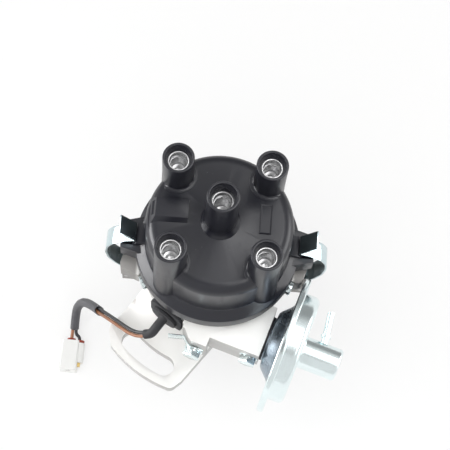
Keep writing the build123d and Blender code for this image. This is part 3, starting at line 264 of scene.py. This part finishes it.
def zinc(name, tint, dull, metal=1.0):
    f = Finish(name)
    patch = f.noise(85, 4, 0.6, warp=0.6)
    shades = ((0.0, 0.88), (0.45, 1.0), (0.58, 0.94), (1.0, 1.05))
    stops = [(position, tuple(min(shade * share, 1.0) for share in tint)) for position, shade in shades]
    rainbow = f.node("ShaderNodeValToRGB", {"stops": stops}, {0: patch})
    streak = f.noise(900, 3, 0.6, f.stretched((1.0, 0.15, 0.15)))
    return f.set(colour=rainbow, metallic=metal, roughness=dull + 0.14 * patch + 0.08 * streak,
                 normal=f.bump(streak + 0.6 * patch, 0.00003, 0.4))


def turnedAluminium():
    f = Finish("turnedAluminium")
    rings = f.noise(1500, 2, 0.5, f.stretched((0.15, 0.15, 2.4)))
    return f.set(colour=(0.66, 0.66, 0.665), metallic=1.0, roughness=0.22 + 0.16 * rings,
                 normal=f.bump(rings, 0.00006, 0.5))


def groundSteel():
    f = Finish("groundSteel")
    lines = f.noise(2200, 2, 0.5, f.stretched((0.2, 0.2, 2.5)))
    oil = f.noise(70, 3)
    return f.set(colour=f.blend(oil, (0.46, 0.46, 0.46), (0.60, 0.60, 0.61)), metallic=1.0,
                 roughness=0.20 + 0.18 * lines, normal=f.bump(lines, 0.00003, 0.5))


def darkSteel():
    f = Finish("darkSteel")
    crystals = f.cells(2400)
    cloud = f.noise(110, 4)
    return f.set(colour=f.blend(cloud, (0.085, 0.087, 0.09), (0.16, 0.16, 0.165)), metallic=0.7,
                 roughness=0.48 + 0.14 * crystals, normal=f.bump(crystals, 0.00004, 0.4))


def sinteredBronze():
    f = Finish("sinteredBronze")
    pores = f.cells(1600)
    return f.set(colour=f.blend(pores, (0.30, 0.17, 0.07), (0.56, 0.38, 0.18)), metallic=0.9,
                 roughness=0.42 + 0.2 * pores, normal=f.bump(pores, 0.00005, 0.5))


def brass():
    f = Finish("brass")
    cloud = f.noise(120, 4)
    return f.set(colour=f.blend(cloud, (0.62, 0.43, 0.15), (0.80, 0.62, 0.28)), metallic=1.0,
                 roughness=0.22 + 0.2 * cloud, normal=f.bump(cloud, 0.00003, 0.3))


def rubber(name, low, high):
    f = Finish(name)
    dust = f.noise(130, 5, 0.65)
    skinAndPaintedShade = f.noise(1800, 3)
    return f.set(colour=f.blend(dust, low, high), roughness=0.56 + 0.2 * dust,
                 normal=f.bump(skinAndPaintedShade + 0.6 * dust, 0.00005, 0.4))


def plastic(name, low, high, dull=0.34):
    f = Finish(name)
    cloud = f.noise(160, 3)
    peel = f.noise(1200, 2)
    return f.set(colour=f.blend(cloud, low, high), roughness=dull + 0.14 * cloud,
                 normal=f.bump(peel, 0.00003, 0.35))


finishes = {
    "cast": castAluminium(),
    "phenolic": phenolic(),
    "zinc": zinc("brightZinc", (0.83, 0.92, 0.93), 0.10),
    "shellZinc": zinc("shellZinc", (0.32, 0.38, 0.44), 0.16),
    "clipZinc": zinc("clipZinc", (0.60, 0.71, 0.74), 0.08),
    # a darker copy of the clips' zinc: painted shade on their inner sides
    "clipInsidePaintedShade": zinc("clipInsidePaintedShade", (0.17, 0.21, 0.225), 0.18, 0.85),
    "insert": turnedAluminium(),
    "steel": groundSteel(),
    "darkSteel": darkSteel(),
    "bronze": sinteredBronze(),
    "brass": brass(),
    "rubber": rubber("blackRubber", (0.012, 0.012, 0.014), (0.032, 0.032, 0.036)),
    "sealRubber": rubber("brownSealRubber", (0.23, 0.030, 0.018), (0.34, 0.06, 0.035)),
    "carbon": plastic("pressedCarbon", (0.02, 0.02, 0.022), (0.05, 0.05, 0.052), 0.5),
    "coilPlastic": plastic("coilPlastic", (0.03, 0.03, 0.034), (0.06, 0.06, 0.065)),
    "card": plastic("pressedCard", (0.05, 0.045, 0.04), (0.09, 0.085, 0.08), 0.6),
    "brownVinyl": plastic("brownVinyl", (0.28, 0.115, 0.055), (0.40, 0.18, 0.095)),
    "blackVinyl": plastic("blackVinyl", (0.014, 0.014, 0.016), (0.03, 0.03, 0.034)),
    "sleeveVinyl": plastic("sleeveVinyl", (0.055, 0.055, 0.062), (0.10, 0.10, 0.11), 0.42),
    "nylon": plastic("whiteNylon", (0.83, 0.83, 0.81), (0.90, 0.90, 0.885), 0.38),
}
print("finishes made:", len(finishes))


bodyOf = {name: node["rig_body"] for name, node in nodes.items()}


# gives a mesh to the scene as a piece with its finish, its body and what it replaces
def keep(name, mesh, finish, *replaced, body=None):
    piece = bpy.data.objects.new(name, mesh)
    bpy.context.scene.collection.objects.link(piece)
    mesh.materials.clear()
    mesh.materials.append(finishes[finish])
    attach(piece, body or bodyOf[replaced[0]])
    if replaced:
        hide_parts(*replaced)
    return piece


def meshFrom(work, name, sharp=35.0):
    for face in work.faces:
        face.smooth = True
    for edge in work.edges:
        if len(edge.link_faces) == 2:
            edge.smooth = edge.calc_face_angle(0.0) < math.radians(sharp)
    mesh = bpy.data.meshes.new(name)
    work.to_mesh(mesh)
    work.free()
    return mesh


# worn edges: flat faces are made whole, then every crease sharper than the limit is rounded
def flatten(work):
    bmesh.ops.dissolve_limit(work, angle_limit=math.radians(0.04), verts=work.verts, edges=work.edges)


def soften(work, width, limit=30.0):
    flatten(work)
    creases = [edge for edge in work.edges if len(edge.link_faces) == 2
               and edge.calc_face_angle(0.0) > math.radians(limit)]
    bmesh.ops.bevel(work, geom=creases, offset=width * mm, offset_type="OFFSET", segments=2, profile=0.5,
                    affect="EDGES", clamp_overlap=True, material=-1)


# two routes side by side, each a smooth spline that ends in the connector
lead = {
    "route": [(-30.31, -41.45, 27.73), (-34.88, -41.56, 24.68), (-39.6, -39.5, 20.9), (-43.5, -36.6, 17.5),
              (-48.4, -32.5, 12.5), (-52.9, -28.4, 6.0), (-57.4, -24.2, -1.5), (-62.9, -18.4, -11.0),
              (-68.2, -13.8, -21.0), (-71.8, -12.6, -30.5), (-74.0, -14.6, -39.3), (-74.2, -22.6, -45.7)],
    "brownEnd": [(-75.2, -26.4, -46.4), (-75.2, -34.0, -46.4)],
    "blackEnd": [(-73.2, -25.6, -46.4), (-70.3, -27.6, -46.4), (-70.3, -34.9, -46.4)],
    "side": (0.45, 0.75, 0.45),
    "halfGap": 0.95,
    "wireRadius": 0.9,
    "length": {"brown": 0.109, "black": 0.112},
    "sleeveTop": -2.9,
    "sleeveInner": 2.05,
    "sleeveOuter": 2.4,
    "sleeveLip": 0.12,
    "cutFace": (0.0, 0.0, 1.0),
}


def beside(route, shift):
    spots = [Vector(spot) for spot in route]
    side = Vector(lead["side"])
    moved = []
    for i, spot in enumerate(spots):
        along = (spots[min(i + 1, len(spots) - 1)] - spots[max(i - 1, 0)]).normalized()
        moved.append(spot + (side - along * side.dot(along)).normalized() * shift)
    return moved


def splineCurve(name, route, radius, caps=True):
    curve = bpy.data.curves.new(name, "CURVE")
    curve.dimensions = "3D"
    curve.resolution_u = 10
    curve.bevel_depth, curve.bevel_resolution = radius * mm, 4
    curve.use_fill_caps = caps
    spline = curve.splines.new("NURBS")
    spline.points.add(len(route) - 1)
    for point, spot in zip(spline.points, route):
        point.co = (*(Vector(spot) * mm), 1.0)
    spline.order_u = 3
    spline.use_endpoint_u = True
    return curve


# the sleeve is a tube on the lead's own spline, cut off square under the boot
def makeSleeve():
    line = splineCurve("sleeveLine", lead["route"], lead["sleeveInner"], False)
    carrier = bpy.data.objects.new("sleeveLine", line)
    mesh = bpy.data.meshes.new_from_object(carrier)
    work = bmesh.new()
    work.from_mesh(mesh)
    bpy.data.objects.remove(carrier)
    bpy.data.meshes.remove(mesh)
    bmesh.ops.bisect_plane(work, geom=[*work.verts, *work.edges, *work.faces], clear_outer=True,
                           plane_co=(0, 0, lead["sleeveTop"] * mm), plane_no=lead["cutFace"])
    bmesh.ops.recalc_face_normals(work, faces=work.faces)
    bmesh.ops.solidify(work, geom=work.faces, thickness=(lead["sleeveInner"] - lead["sleeveOuter"]) * mm)
    bmesh.ops.recalc_face_normals(work, faces=work.faces)
    soften(work, lead["sleeveLip"], 60)
    return keep("leadSleeve", meshFrom(work, "leadSleeve", 60), "sleeveVinyl", "lead_sleeve")


def makeWires():
    connector = ("connector_housing", "connector_seals", "connector_terminals")
    plug = [makeSleeve(), *[nodes[name] for name in connector]]
    for colour, shift in (("brown", -lead["halfGap"]), ("black", lead["halfGap"])):
        route = beside(lead["route"], shift) + [Vector(spot) for spot in lead[colour + "End"]]
        curve = splineCurve(colour + "Wire", route, lead["wireRadius"])
        wire = keep(colour + "Wire", curve, colour + "Vinyl", "lead_wire_" + colour)
        route[0] * mm


makeWires()
print("lead made")


# corners are (x, y, rounding)
def rounded(corners, steps=4):
    points = []
    for i, (x, y, radius) in enumerate(corners):
        here = Vector((x, y))
        if not radius:
            points.append(here)
            continue
        before = (Vector(corners[i - 1][:2]) - here).normalized()
        after = (Vector(corners[(i + 1) % len(corners)][:2]) - here).normalized()
        half = before.angle(after) / 2
        centre = here + (before + after).normalized() * radius / math.sin(half)
        start, end = ((here + way * radius / math.tan(half) - centre).normalized() for way in (before, after))
        points += [centre + start.slerp(end, k / steps) * radius for k in range(steps + 1)]
    return points


# a closed outline of (radius, height) in mm, spun round the local Z of its place
def lathe(outline, place, segments=72):
    work = bmesh.new()
    spots = [work.verts.new(place @ (Vector((radius, 0, height)) * mm)) for radius, height in outline]
    rim = [work.edges.new(ends) for ends in zip(spots, spots[1:] + spots[:1])]
    bmesh.ops.spin(work, geom=spots + rim, cent=place.translation, axis=place.col[2].to_3d(),
                   angle=2 * math.pi, steps=segments, use_merge=True)
    bmesh.ops.remove_doubles(work, verts=work.verts, dist=0.001 * mm)
    bmesh.ops.recalc_face_normals(work, faces=work.faces)
    return work


def join(work, *pieces):
    for piece in pieces:
        carrier = bpy.data.meshes.new("carrier")
        piece.to_mesh(carrier)
        piece.free()
        work.from_mesh(carrier)
        bpy.data.meshes.remove(carrier)


def polar(radius, degrees, height=0.0):
    angle = math.radians(degrees)
    return Vector((radius * math.cos(angle), radius * math.sin(angle), height))


def at(spot, along=(0, 0, 1)):
    return Matrix.Translation(Vector(spot) * mm) @ Vector(along).to_track_quat("Z", "Y").to_matrix().to_4x4()


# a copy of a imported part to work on, with its doubled points merged
def copyOf(*names):
    work = bmesh.new()
    for name in names:
        work.from_mesh(nodes[name].data)
    bmesh.ops.remove_doubles(work, verts=work.verts, dist=0.004 * mm)
    bmesh.ops.dissolve_degenerate(work, edges=work.edges, dist=0.001 * mm)
    return work


# cap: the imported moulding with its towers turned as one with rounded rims
capShape = {
    "quarters": (45, 135, 225, 315),
    "pitch": 30.65,
    "foot": (8.35, 52.0),
    "wall": (7.53, 90.0),
    "radius": 7.5,
    "top": 107.0,
    "centreFoot": 84.0,
    "centreTop": 118.6,
    "rimRound": 0.5,
    "mouth": 6.25,
    "mouthLip": 0.6,
    "bore": 4.6,
    "ring": (0.33, 0.82),   # tool rings in the mouth's funnel
    "mouthDepth": 4.7,
    "centreMouthDepth": 7.0,
    "domeRadius": 35.2,
    "domeEdge": 85.75,
    "domeTop": 86.4,
    "domeRound": 6.0,
    "flareWidth": 2.0,
    "flareHeight": 2.0,
    "flareStep": 0.35,
    "flareFade": 4.0,       # the fillet thins out over this distance
    "flareMargin": 0.6,     # and is gone this far inside the dome's edge
    "flareSink": 0.05,
    "edge": 0.3,
    "padTop": 86.15,        # the flat pad between the towers gets a raised frame
    "frameRise": 0.3,
    "frameWidth": 0.7,
    "frameDip": 0.4,
}


def domeHeight(radius):
    c = capShape
    flat = c["domeTop"] + (c["domeEdge"] - c["domeTop"]) * radius / c["domeRadius"]
    into = radius - (c["domeRadius"] - c["domeRound"])
    if into <= 0:
        return flat
    return flat - c["domeRound"] + math.sqrt(max(c["domeRound"] ** 2 - into ** 2, 0.0))


def towerOutline(foot, top, mouthDepth):
    c = capShape
    funnel = [(c["mouth"] - c["ring"][0] * k, top - c["mouthLip"] - c["ring"][1] * k) for k in range(1, 4)]
    return rounded([(*foot, 0), (*c["wall"], 0), (c["radius"], top, c["rimRound"]), (c["mouth"], top, 0.2),
                    (c["mouth"], top - c["mouthLip"], 0),
                    *[(radius + side, height, 0) for radius, height in funnel for side in (0.1, -0.06)],
                    (c["bore"], top - mouthDepth, 0), (c["bore"], foot[1], 0)])


# fillet between a tower and the dome, which fades where the tower reaches the dome's edge
def flare(centre, radius):
    c = capShape
    root, width, height = radius - 0.1, c["flareWidth"], c["flareHeight"]
    step = c["flareStep"]
    ring = lathe(rounded([(root, -1.0, 0), (root + width, -1.0, 0), (root + width, step, 0.6 * step),
                          (root, step, 0.7 * width), (root, height, 0)], 6), at(centre))
    for vertex in ring.verts:
        out = vertex.co.xy / mm - centre.xy
        way = out.normalized()
        reach = (centre.xy + way * (radius + width)).length
        fade = min(max((c["domeRadius"] - c["flareMargin"] - reach) / c["flareFade"], 0.0), 1.0)
        spot = centre.xy + way * (root + fade * (out.length - root))
        lift = vertex.co.z / mm - centre.z
        rise = fade * lift if lift > 0 else lift
        vertex.co = (*(spot * mm), (domeHeight(spot.length) - c["flareSink"] + rise) * mm)
    return ring


def makeCap():
    c = capShape
    work = copyOf("cap")
    flatten(work)
    pad = [face for face in work.faces if face.normal.z > 0.99999
           and abs(face.calc_center_median().z / mm - c["padTop"]) < 0.02 and face.calc_center_median().x > 0]
    bmesh.ops.translate(work, verts=list({vertex for face in pad for vertex in face.verts}),
                        vec=(0, 0, c["frameRise"] * mm))
    bmesh.ops.inset_region(work, faces=pad, thickness=c["frameWidth"] * mm, depth=-c["frameDip"] * mm,
                           use_boundary=True, use_even_offset=True)
    soften(work, c["edge"])
    for quarter in c["quarters"]:
        centre = polar(c["pitch"], quarter)
        join(work, lathe(towerOutline(c["foot"], c["top"], c["mouthDepth"]), at(centre)),
             flare(centre, c["radius"]))
    centreFoot = (c["wall"][0], c["centreFoot"])
    join(work, lathe(towerOutline(centreFoot, c["centreTop"], c["centreMouthDepth"]), at((0, 0, 0))))
    keep("capMoulding", meshFrom(work, "capMoulding", 21), "phenolic", "cap", "cap_towers")


# terminals: turned inserts with a flanged rim, a ridged wall and a drilled floor
insertShape = {"body": 4.58, "flange": 4.86, "bore": 4.3, "socket": 3.75, "step": 3.6, "floor": 91.0,
               "centreFloor": 97.0, "foot": 66.0, "post": 3.0, "insert": 88.0, "ridges": 4, "ridgePitch": 0.8,
               "ridgeDepth": 0.24, "drill": 1.9, "cone": 1.4, "flangeDrop": 0.72, "ridgeStart": 0.7,
               "stepDrop": 0.9, "postLip": 2.2}


def insertOutline(low, top, floor):
    i = insertShape
    wall = []
    for k in range(i["ridges"]):
        height = top - i["ridgeStart"] - k * i["ridgePitch"]
        wall += [(i["bore"], height, 0), (i["bore"] - i["ridgeDepth"], height - 0.3 * i["ridgePitch"], 0.06),
                 (i["bore"], height - 0.6 * i["ridgePitch"], 0)]
    step = top - i["step"] - i["stepDrop"]
    drill, under = i["drill"], top - i["flangeDrop"]
    return rounded([(0, low, 0), (i["body"], low, 0), (i["body"], under, 0), (i["flange"], top - 0.1, 0),
                    (i["flange"], top, 0.08), (i["bore"], top, 0.15), *wall, (i["bore"], step, 0),
                    (i["socket"], step, 0.2), (i["socket"] - 0.15, floor, 0.5), (drill + 0.35, floor, 0),
                    (drill + 0.2, floor - 0.25, 0), (drill, floor - 0.25, 0.1),
                    (drill - 0.1, floor - i["cone"], 0.3), (0, floor - i["cone"] - 0.5, 0)])


def makeTerminals():
    c, i = capShape, insertShape
    work = bmesh.new()
    for quarter in c["quarters"]:
        place = at(polar(c["pitch"], quarter))
        rim = c["top"] - c["mouthDepth"] + i["flangeDrop"]
        join(work, lathe(insertOutline(i["insert"], rim, i["floor"]), place, 48),
             lathe(rounded([(0, i["foot"], 0), (i["postLip"], i["foot"], 0.4),
                            (i["post"], i["foot"] + 1.4, 0.3), (i["post"], i["insert"] + 0.1, 0),
                            (0, i["insert"] + 0.1, 0)]), place, 32))
    keep("outerTerminals", meshFrom(work, "outerTerminals", 40), "insert", "outer_terminals")
    rim = c["centreTop"] - c["centreMouthDepth"] + i["flangeDrop"]
    work = lathe(insertOutline(c["wall"][1], rim, i["centreFloor"]), at((0, 0, 0)), 48)
    keep("centreTerminal", meshFrom(work, "centreTerminal", 40), "insert", "centre_terminal")


# vacuum unit: a pressed can with its edge rolled over the back shell
vacuumShape = {
    "angle": -17.0,
    "offset": 29.4,
    "height": 30.0,
    "flange": 35.0,
    "crimp": (46.3, 49.6),
    "drum": (27.8, 57.3),
    "nozzle": (8.1, 76.8),
    "lip": (31.4, 34.3),
    "wall": 1.0,
}


# level directions along the unit and across it
def vacuumAxes():
    angle = math.radians(vacuumShape["angle"])
    return Vector((math.cos(angle), math.sin(angle), 0)), Vector((-math.sin(angle), math.cos(angle), 0))


def vacuumPlace():
    v = vacuumShape
    along, across = vacuumAxes()
    return at(Vector((0, 0, v["height"])) - across * v["offset"], along)


def makeVacuumShell():
    v = vacuumShape
    (back, front), (drum, face), (nozzle, end), wall = v["crimp"], v["drum"], v["nozzle"], v["wall"]
    inner = nozzle - wall - 0.1
    outline = rounded([
        (v["lip"][0], back, 0.2), (v["flange"], back, 0.9), (v["flange"], front, 1.0),
        (drum + 3.1, front, 0.5), (drum + 2.5, front - 0.7, 0.6), (drum, front - 0.7, 0.7),
        (drum, face, 3.0), (nozzle + 9.0, face, 2.0), (nozzle + 8.2, face - 0.5, 0.4),
        (nozzle, face - 0.4, 1.6), (nozzle, end, 1.6), (0, end, 0),
        (0, end - wall, 0), (inner, end - wall, 0.6), (inner, face - wall - 0.5, 2.0),
        (drum - wall, face - wall, 2.2), (drum - wall, back + 1.9, 0.3), (v["lip"][1], back + 1.9, 0.2),
        (v["lip"][1], back + 0.6, 0.2), (v["lip"][0], back + 0.6, 0.2)], 5)
    keep("vacuumFrontShell", meshFrom(lathe(outline, vacuumPlace(), 128), "vacuumFrontShell", 40), "zinc",
         "vacuum_front_shell")


# front screws: chamfered hexagon heads on a spring washer and a flat one
screwShape = {
    "along": ((6.9, -48.1, 10.2), (33.5, -41.1, 7.6)),
    "height": 30.0,
    "shank": 2.5,
    "flats": 8.0,
    "head": 2.7,            # height above the washers
    "chamfer": 0.5,
    "flatWasher": (4.8, 0.7),
    "springWasher": (4.1, 1.0),
}


def hexagon(work, place, flats, low, high, chamfer):
    across = flats / 2 / math.cos(math.pi / 6) * mm
    made = bmesh.ops.create_cone(work, cap_ends=True, segments=6, radius1=across, radius2=across,
                                 depth=(high - low) * mm,
                                 matrix=place @ Matrix.Translation((0, 0, (low + high) / 2 * mm)))
    caps = {face for vertex in made["verts"] for face in vertex.link_faces if len(face.verts) == 6}
    top = max(caps, key=lambda face: (place.inverted() @ face.calc_center_median()).z)
    bmesh.ops.bevel(work, geom=top.edges, offset=chamfer * mm, offset_type="OFFSET", segments=2, profile=0.5,
                    affect="EDGES", clamp_overlap=True, material=-1)


def makeFrontScrews():
    s = screwShape
    along, across = vacuumAxes()
    flatRadius, flatHeight = s["flatWasher"]
    springRadius, springHeight = s["springWasher"]
    work = bmesh.new()
    for u, seat, deep in s["along"]:
        place = at(along * u + across * seat + Vector((0, 0, s["height"])), -across)
        low = flatHeight + springHeight
        join(work, lathe([(0, -deep), (s["shank"], -deep), (s["shank"], low), (0, low)], place, 24),
             lathe(rounded([(s["shank"], 0, 0), (flatRadius, 0, 0.15), (flatRadius, flatHeight, 0.25),
                            (s["shank"], flatHeight, 0)], 3), place, 48),
             lathe(rounded([(s["shank"], flatHeight, 0), (springRadius, flatHeight + 0.03, 0.2),
                            (springRadius, low - 0.03, 0.2), (s["shank"], low, 0)], 3), place, 48))
        hexagon(work, place, s["flats"], low, low + s["head"], s["chamfer"])
    keep("frontScrews", meshFrom(work, "frontScrews", 25), "zinc", "front_screws")


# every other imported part: its own finish, some with worn edges
def dress(node, finish, edge=0.0):
    work = copyOf(node)
    if edge:
        soften(work, edge)
    return keep(node + "Shell", meshFrom(work, node), finish, node)


# the clips' inner sides get a darker copy of the zinc as painted shade, and a duller one
def makeClips():
    for node, side in (("clip_left", -1), ("clip_right", 1)):
        piece = dress(node, "clipZinc", worn[node])
        piece.data.materials.append(finishes["clipInsidePaintedShade"])
        for face in piece.data.polygons:
            face.material_index = int(face.normal.x * side < -0.3)


# springs: the vacuum and brush springs are dressed as they are, and the governor's pair is split into two
# pieces, one on each side
springShape = {
    "vacuumSeat": 75.8,     # along the vacuum unit
    "brushSeat": 93.0,
    "vacuumTravel": 3.5,
    "brushTravel": 1.5,
    "pin": (17.0, 0.0),     # radius and angle at the weight's hinge
    "post": (15.0, 60.0),   # and at the sleeve's post
    "height": 31.4,
}


def shorten(node, seat, along, travel):
    piece = dress(node, "steel")
    length = max(abs((vertex.co - seat).dot(along)) for vertex in piece.data.vertices)
    (length - travel * mm) / length
    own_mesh(piece)


def makeSprings():
    s = springShape
    vacuum = vacuumPlace()
    along = vacuum.col[2].to_3d()
    shorten("vacuum_spring", vacuum.translation + along * s["vacuumSeat"] * mm, along,
            s["vacuumTravel"])
    shorten("brush_spring", Vector((0, 0, s["brushSeat"] * mm)), Vector((0, 0, 1)),
            s["brushTravel"])
    for name, turn in (("governorSpringA", 0), ("governorSpringB", 180)):
        pin, post = (polar(radius, angle + turn, s["height"]) * mm for radius, angle in (s["pin"], s["post"]))
        side = (pin + post) * 0.5
        work = copyOf("governor_springs")
        away = [vertex for vertex in work.verts if vertex.co.xy.dot(side.xy) < 0]
        bmesh.ops.delete(work, geom=away, context="VERTS")
        piece = bpy.data.objects.new(name, meshFrom(work, name))
        bpy.context.scene.collection.objects.link(piece)
        piece.data.materials.append(finishes["steel"])
        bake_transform(piece)
        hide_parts("governor_springs")


worn = {"housing": 0.35, "grommet": 0.3, "earth_tab": 0.12, "clip_left": 0.14, "clip_right": 0.14,
        "plate_screws": 0.15, "vacuum_back_shell": 0.1}
partFinish = {
    "housing": "cast", "upper_bush": "bronze", "lower_bush": "bronze", "o_ring": "rubber",
    "thrust_washer": "steel", "main_shaft": "steel", "drive_gear": "steel", "gear_roll_pin": "darkSteel",
    "governor_plate": "darkSteel", "weight_pins": "steel", "governor_weight_a": "darkSteel",
    "governor_weight_b": "darkSteel", "rotor_sleeve": "steel", "sleeve_washer": "steel",
    "sleeve_screw": "steel", "reluctor": "darkSteel", "base_plate": "zinc",
    "pickup_plate": "zinc", "pickup_coil": "coilPlastic", "pole_piece": "darkSteel", "coil_screws": "zinc",
    "plate_screws": "zinc", "dust_cover": "card", "rotor": "phenolic", "rotor_electrode": "brass",
    "cap_seal": "rubber", "carbon_brush": "carbon", "vacuum_gasket": "rubber",
    "vacuum_back_shell": "shellZinc", "vacuum_pipe": "zinc", "vacuum_rod": "zinc", "diaphragm": "rubber",
    "diaphragm_cup": "zinc", "earth_tab": "zinc", "clip_pins": "steel",
    "grommet": "rubber",
}
makeCap()
makeTerminals()
makeVacuumShell()
makeFrontScrews()
makeClips()
makeSprings()
for node, finish in partFinish.items():
    dress(node, finish, worn.get(node, 0.0))
print("parts dressed:", len(partFinish))

# the connector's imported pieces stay, with a finish
for node, finish in (("connector_housing", "nylon"), ("connector_seals", "sealRubber"),
                     ("connector_terminals", "brass")):
    nodes[node].data.materials.clear()
    nodes[node].data.materials.append(finishes[finish])


# studio: a white floor and sky, three disc lamps, and a darker or brighter room that only mirrors see
light = {
    "floorShine": 0.6,      # share of white that the camera sees in the floor
    "ambient": 0.67,
    "back": 0.6,            # how much darker mirrors see the room behind the object
    "lens": 0.75,           # and the camera itself
    "windows": (11.0, 3.5),  # how much brighter they see the windows at the left and right
    "ceiling": 4.5,         # and the ceiling's right half
    # each edge in the mirrored room: where it starts along the unit direction, and its softness
    "backEdge": (0.45, 0.25),
    "backTop": (0.5, 0.3),
    "lensEdge": (0.972, 0.012),
    "ceilingEdge": (0.86, 0.05),
    "ceilingSide": (0.05, 0.07),
    "windowSill": (0.04, 0.06),
    "windowTop": (0.40, 0.12),
    "windowSide": (0.82, 0.06),
    "target": (0.0, 0.0, 0.04),
    "lamps": (("topLamp", (-0.25, -0.55, 1.35), 1.9, 15.5), ("leftLamp", (-1.15, 0.03, 0.38), 0.6, 2.0),
              ("rightLamp", (1.15, 0.25, 0.45), 0.8, 2.0)),
}


def makeStage():
    work = bmesh.new()
    bmesh.ops.create_grid(work, x_segments=2, y_segments=2, size=4.0)
    bmesh.ops.translate(work, verts=work.verts, vec=(0, 0, cadLow.z - 0.0003))
    mesh = bpy.data.meshes.new("floor")
    work.to_mesh(mesh)
    work.free()
    floor = bpy.data.objects.new("floor", mesh)
    bpy.context.scene.collection.objects.link(floor)
    f = Finish("floorPaper")
    mesh.materials.append(f.set(colour=(0.97, 0.97, 0.965), roughness=0.8))
    seen = f.node("ShaderNodeLightPath", pick="Is Camera Ray")
    shine = f.node("ShaderNodeEmission", inputs={0: (1.0, 1.0, 1.0), 1: 1.0})
    mixed = f.node("ShaderNodeMixShader", inputs={0: light["floorShine"] * seen, 2: shine})
    f.tree.links.new(f.shader.outputs[0], mixed.socket.node.inputs[1])
    f.tree.links.new(mixed.socket, f.out.inputs[0])


def makeLight():
    world = bpy.data.worlds.new("sky")
    bpy.context.scene.world = world
    sky = Nodes(world)
    way = sky.node("ShaderNodeTexCoord", pick="Generated")
    x, y, z = (sky.node("ShaderNodeSeparateXYZ", inputs={0: way}, pick=axis) for axis in "XYZ")
    camera = bpy.context.scene.camera.location.normalized()
    facing = sky.node("ShaderNodeVectorMath", {"operation": "DOT_PRODUCT"}, {0: way, 1: tuple(camera)},
                      pick="Value")
    back = y.over(*light["backEdge"]) * (1.0 - z.over(*light["backTop"]))
    mirrored = (1.0 - light["back"] * back) * (1.0 - light["lens"] * facing.over(*light["lensEdge"]))
    ceiling = z.over(*light["ceilingEdge"]) * x.over(*light["ceilingSide"])
    mirrored = mirrored * (1.0 + light["ceiling"] * ceiling)
    low = z.over(*light["windowSill"]) * (1.0 - z.over(*light["windowTop"]))
    left, right = light["windows"]
    side = light["windowSide"]
    mirrored = mirrored + low * (left * (0.0 - x).over(*side) + right * x.over(*side))
    glossy = sky.node("ShaderNodeLightPath", pick="Is Glossy Ray")
    seen = sky.node("ShaderNodeLightPath", pick="Is Camera Ray")
    strength = seen + (1.0 - seen) * (glossy * mirrored + (1.0 - glossy) * light["ambient"])
    shine = sky.tree.nodes.new("ShaderNodeBackground")
    sky.feed(shine.inputs["Strength"], strength)
    out = sky.tree.nodes.new("ShaderNodeOutputWorld")
    sky.tree.links.new(shine.outputs[0], out.inputs[0])
    for name, place, size, power in light["lamps"]:
        lamp = bpy.data.lights.new(name, "AREA")
        lamp.shape, lamp.size, lamp.energy = "DISK", size, power
        holder = bpy.data.objects.new(name, lamp)
        holder.location = place
        holder.visible_glossy = name != "topLamp"
        holder.rotation_mode = "QUATERNION"
        holder.rotation_quaternion = (Vector(light["target"]) - Vector(place)).to_track_quat("-Z", "Y")
        bpy.context.scene.collection.objects.link(holder)


makeStage()
makeLight()
bpy.context.scene.view_settings.view_transform = "Standard"
print("studio set")
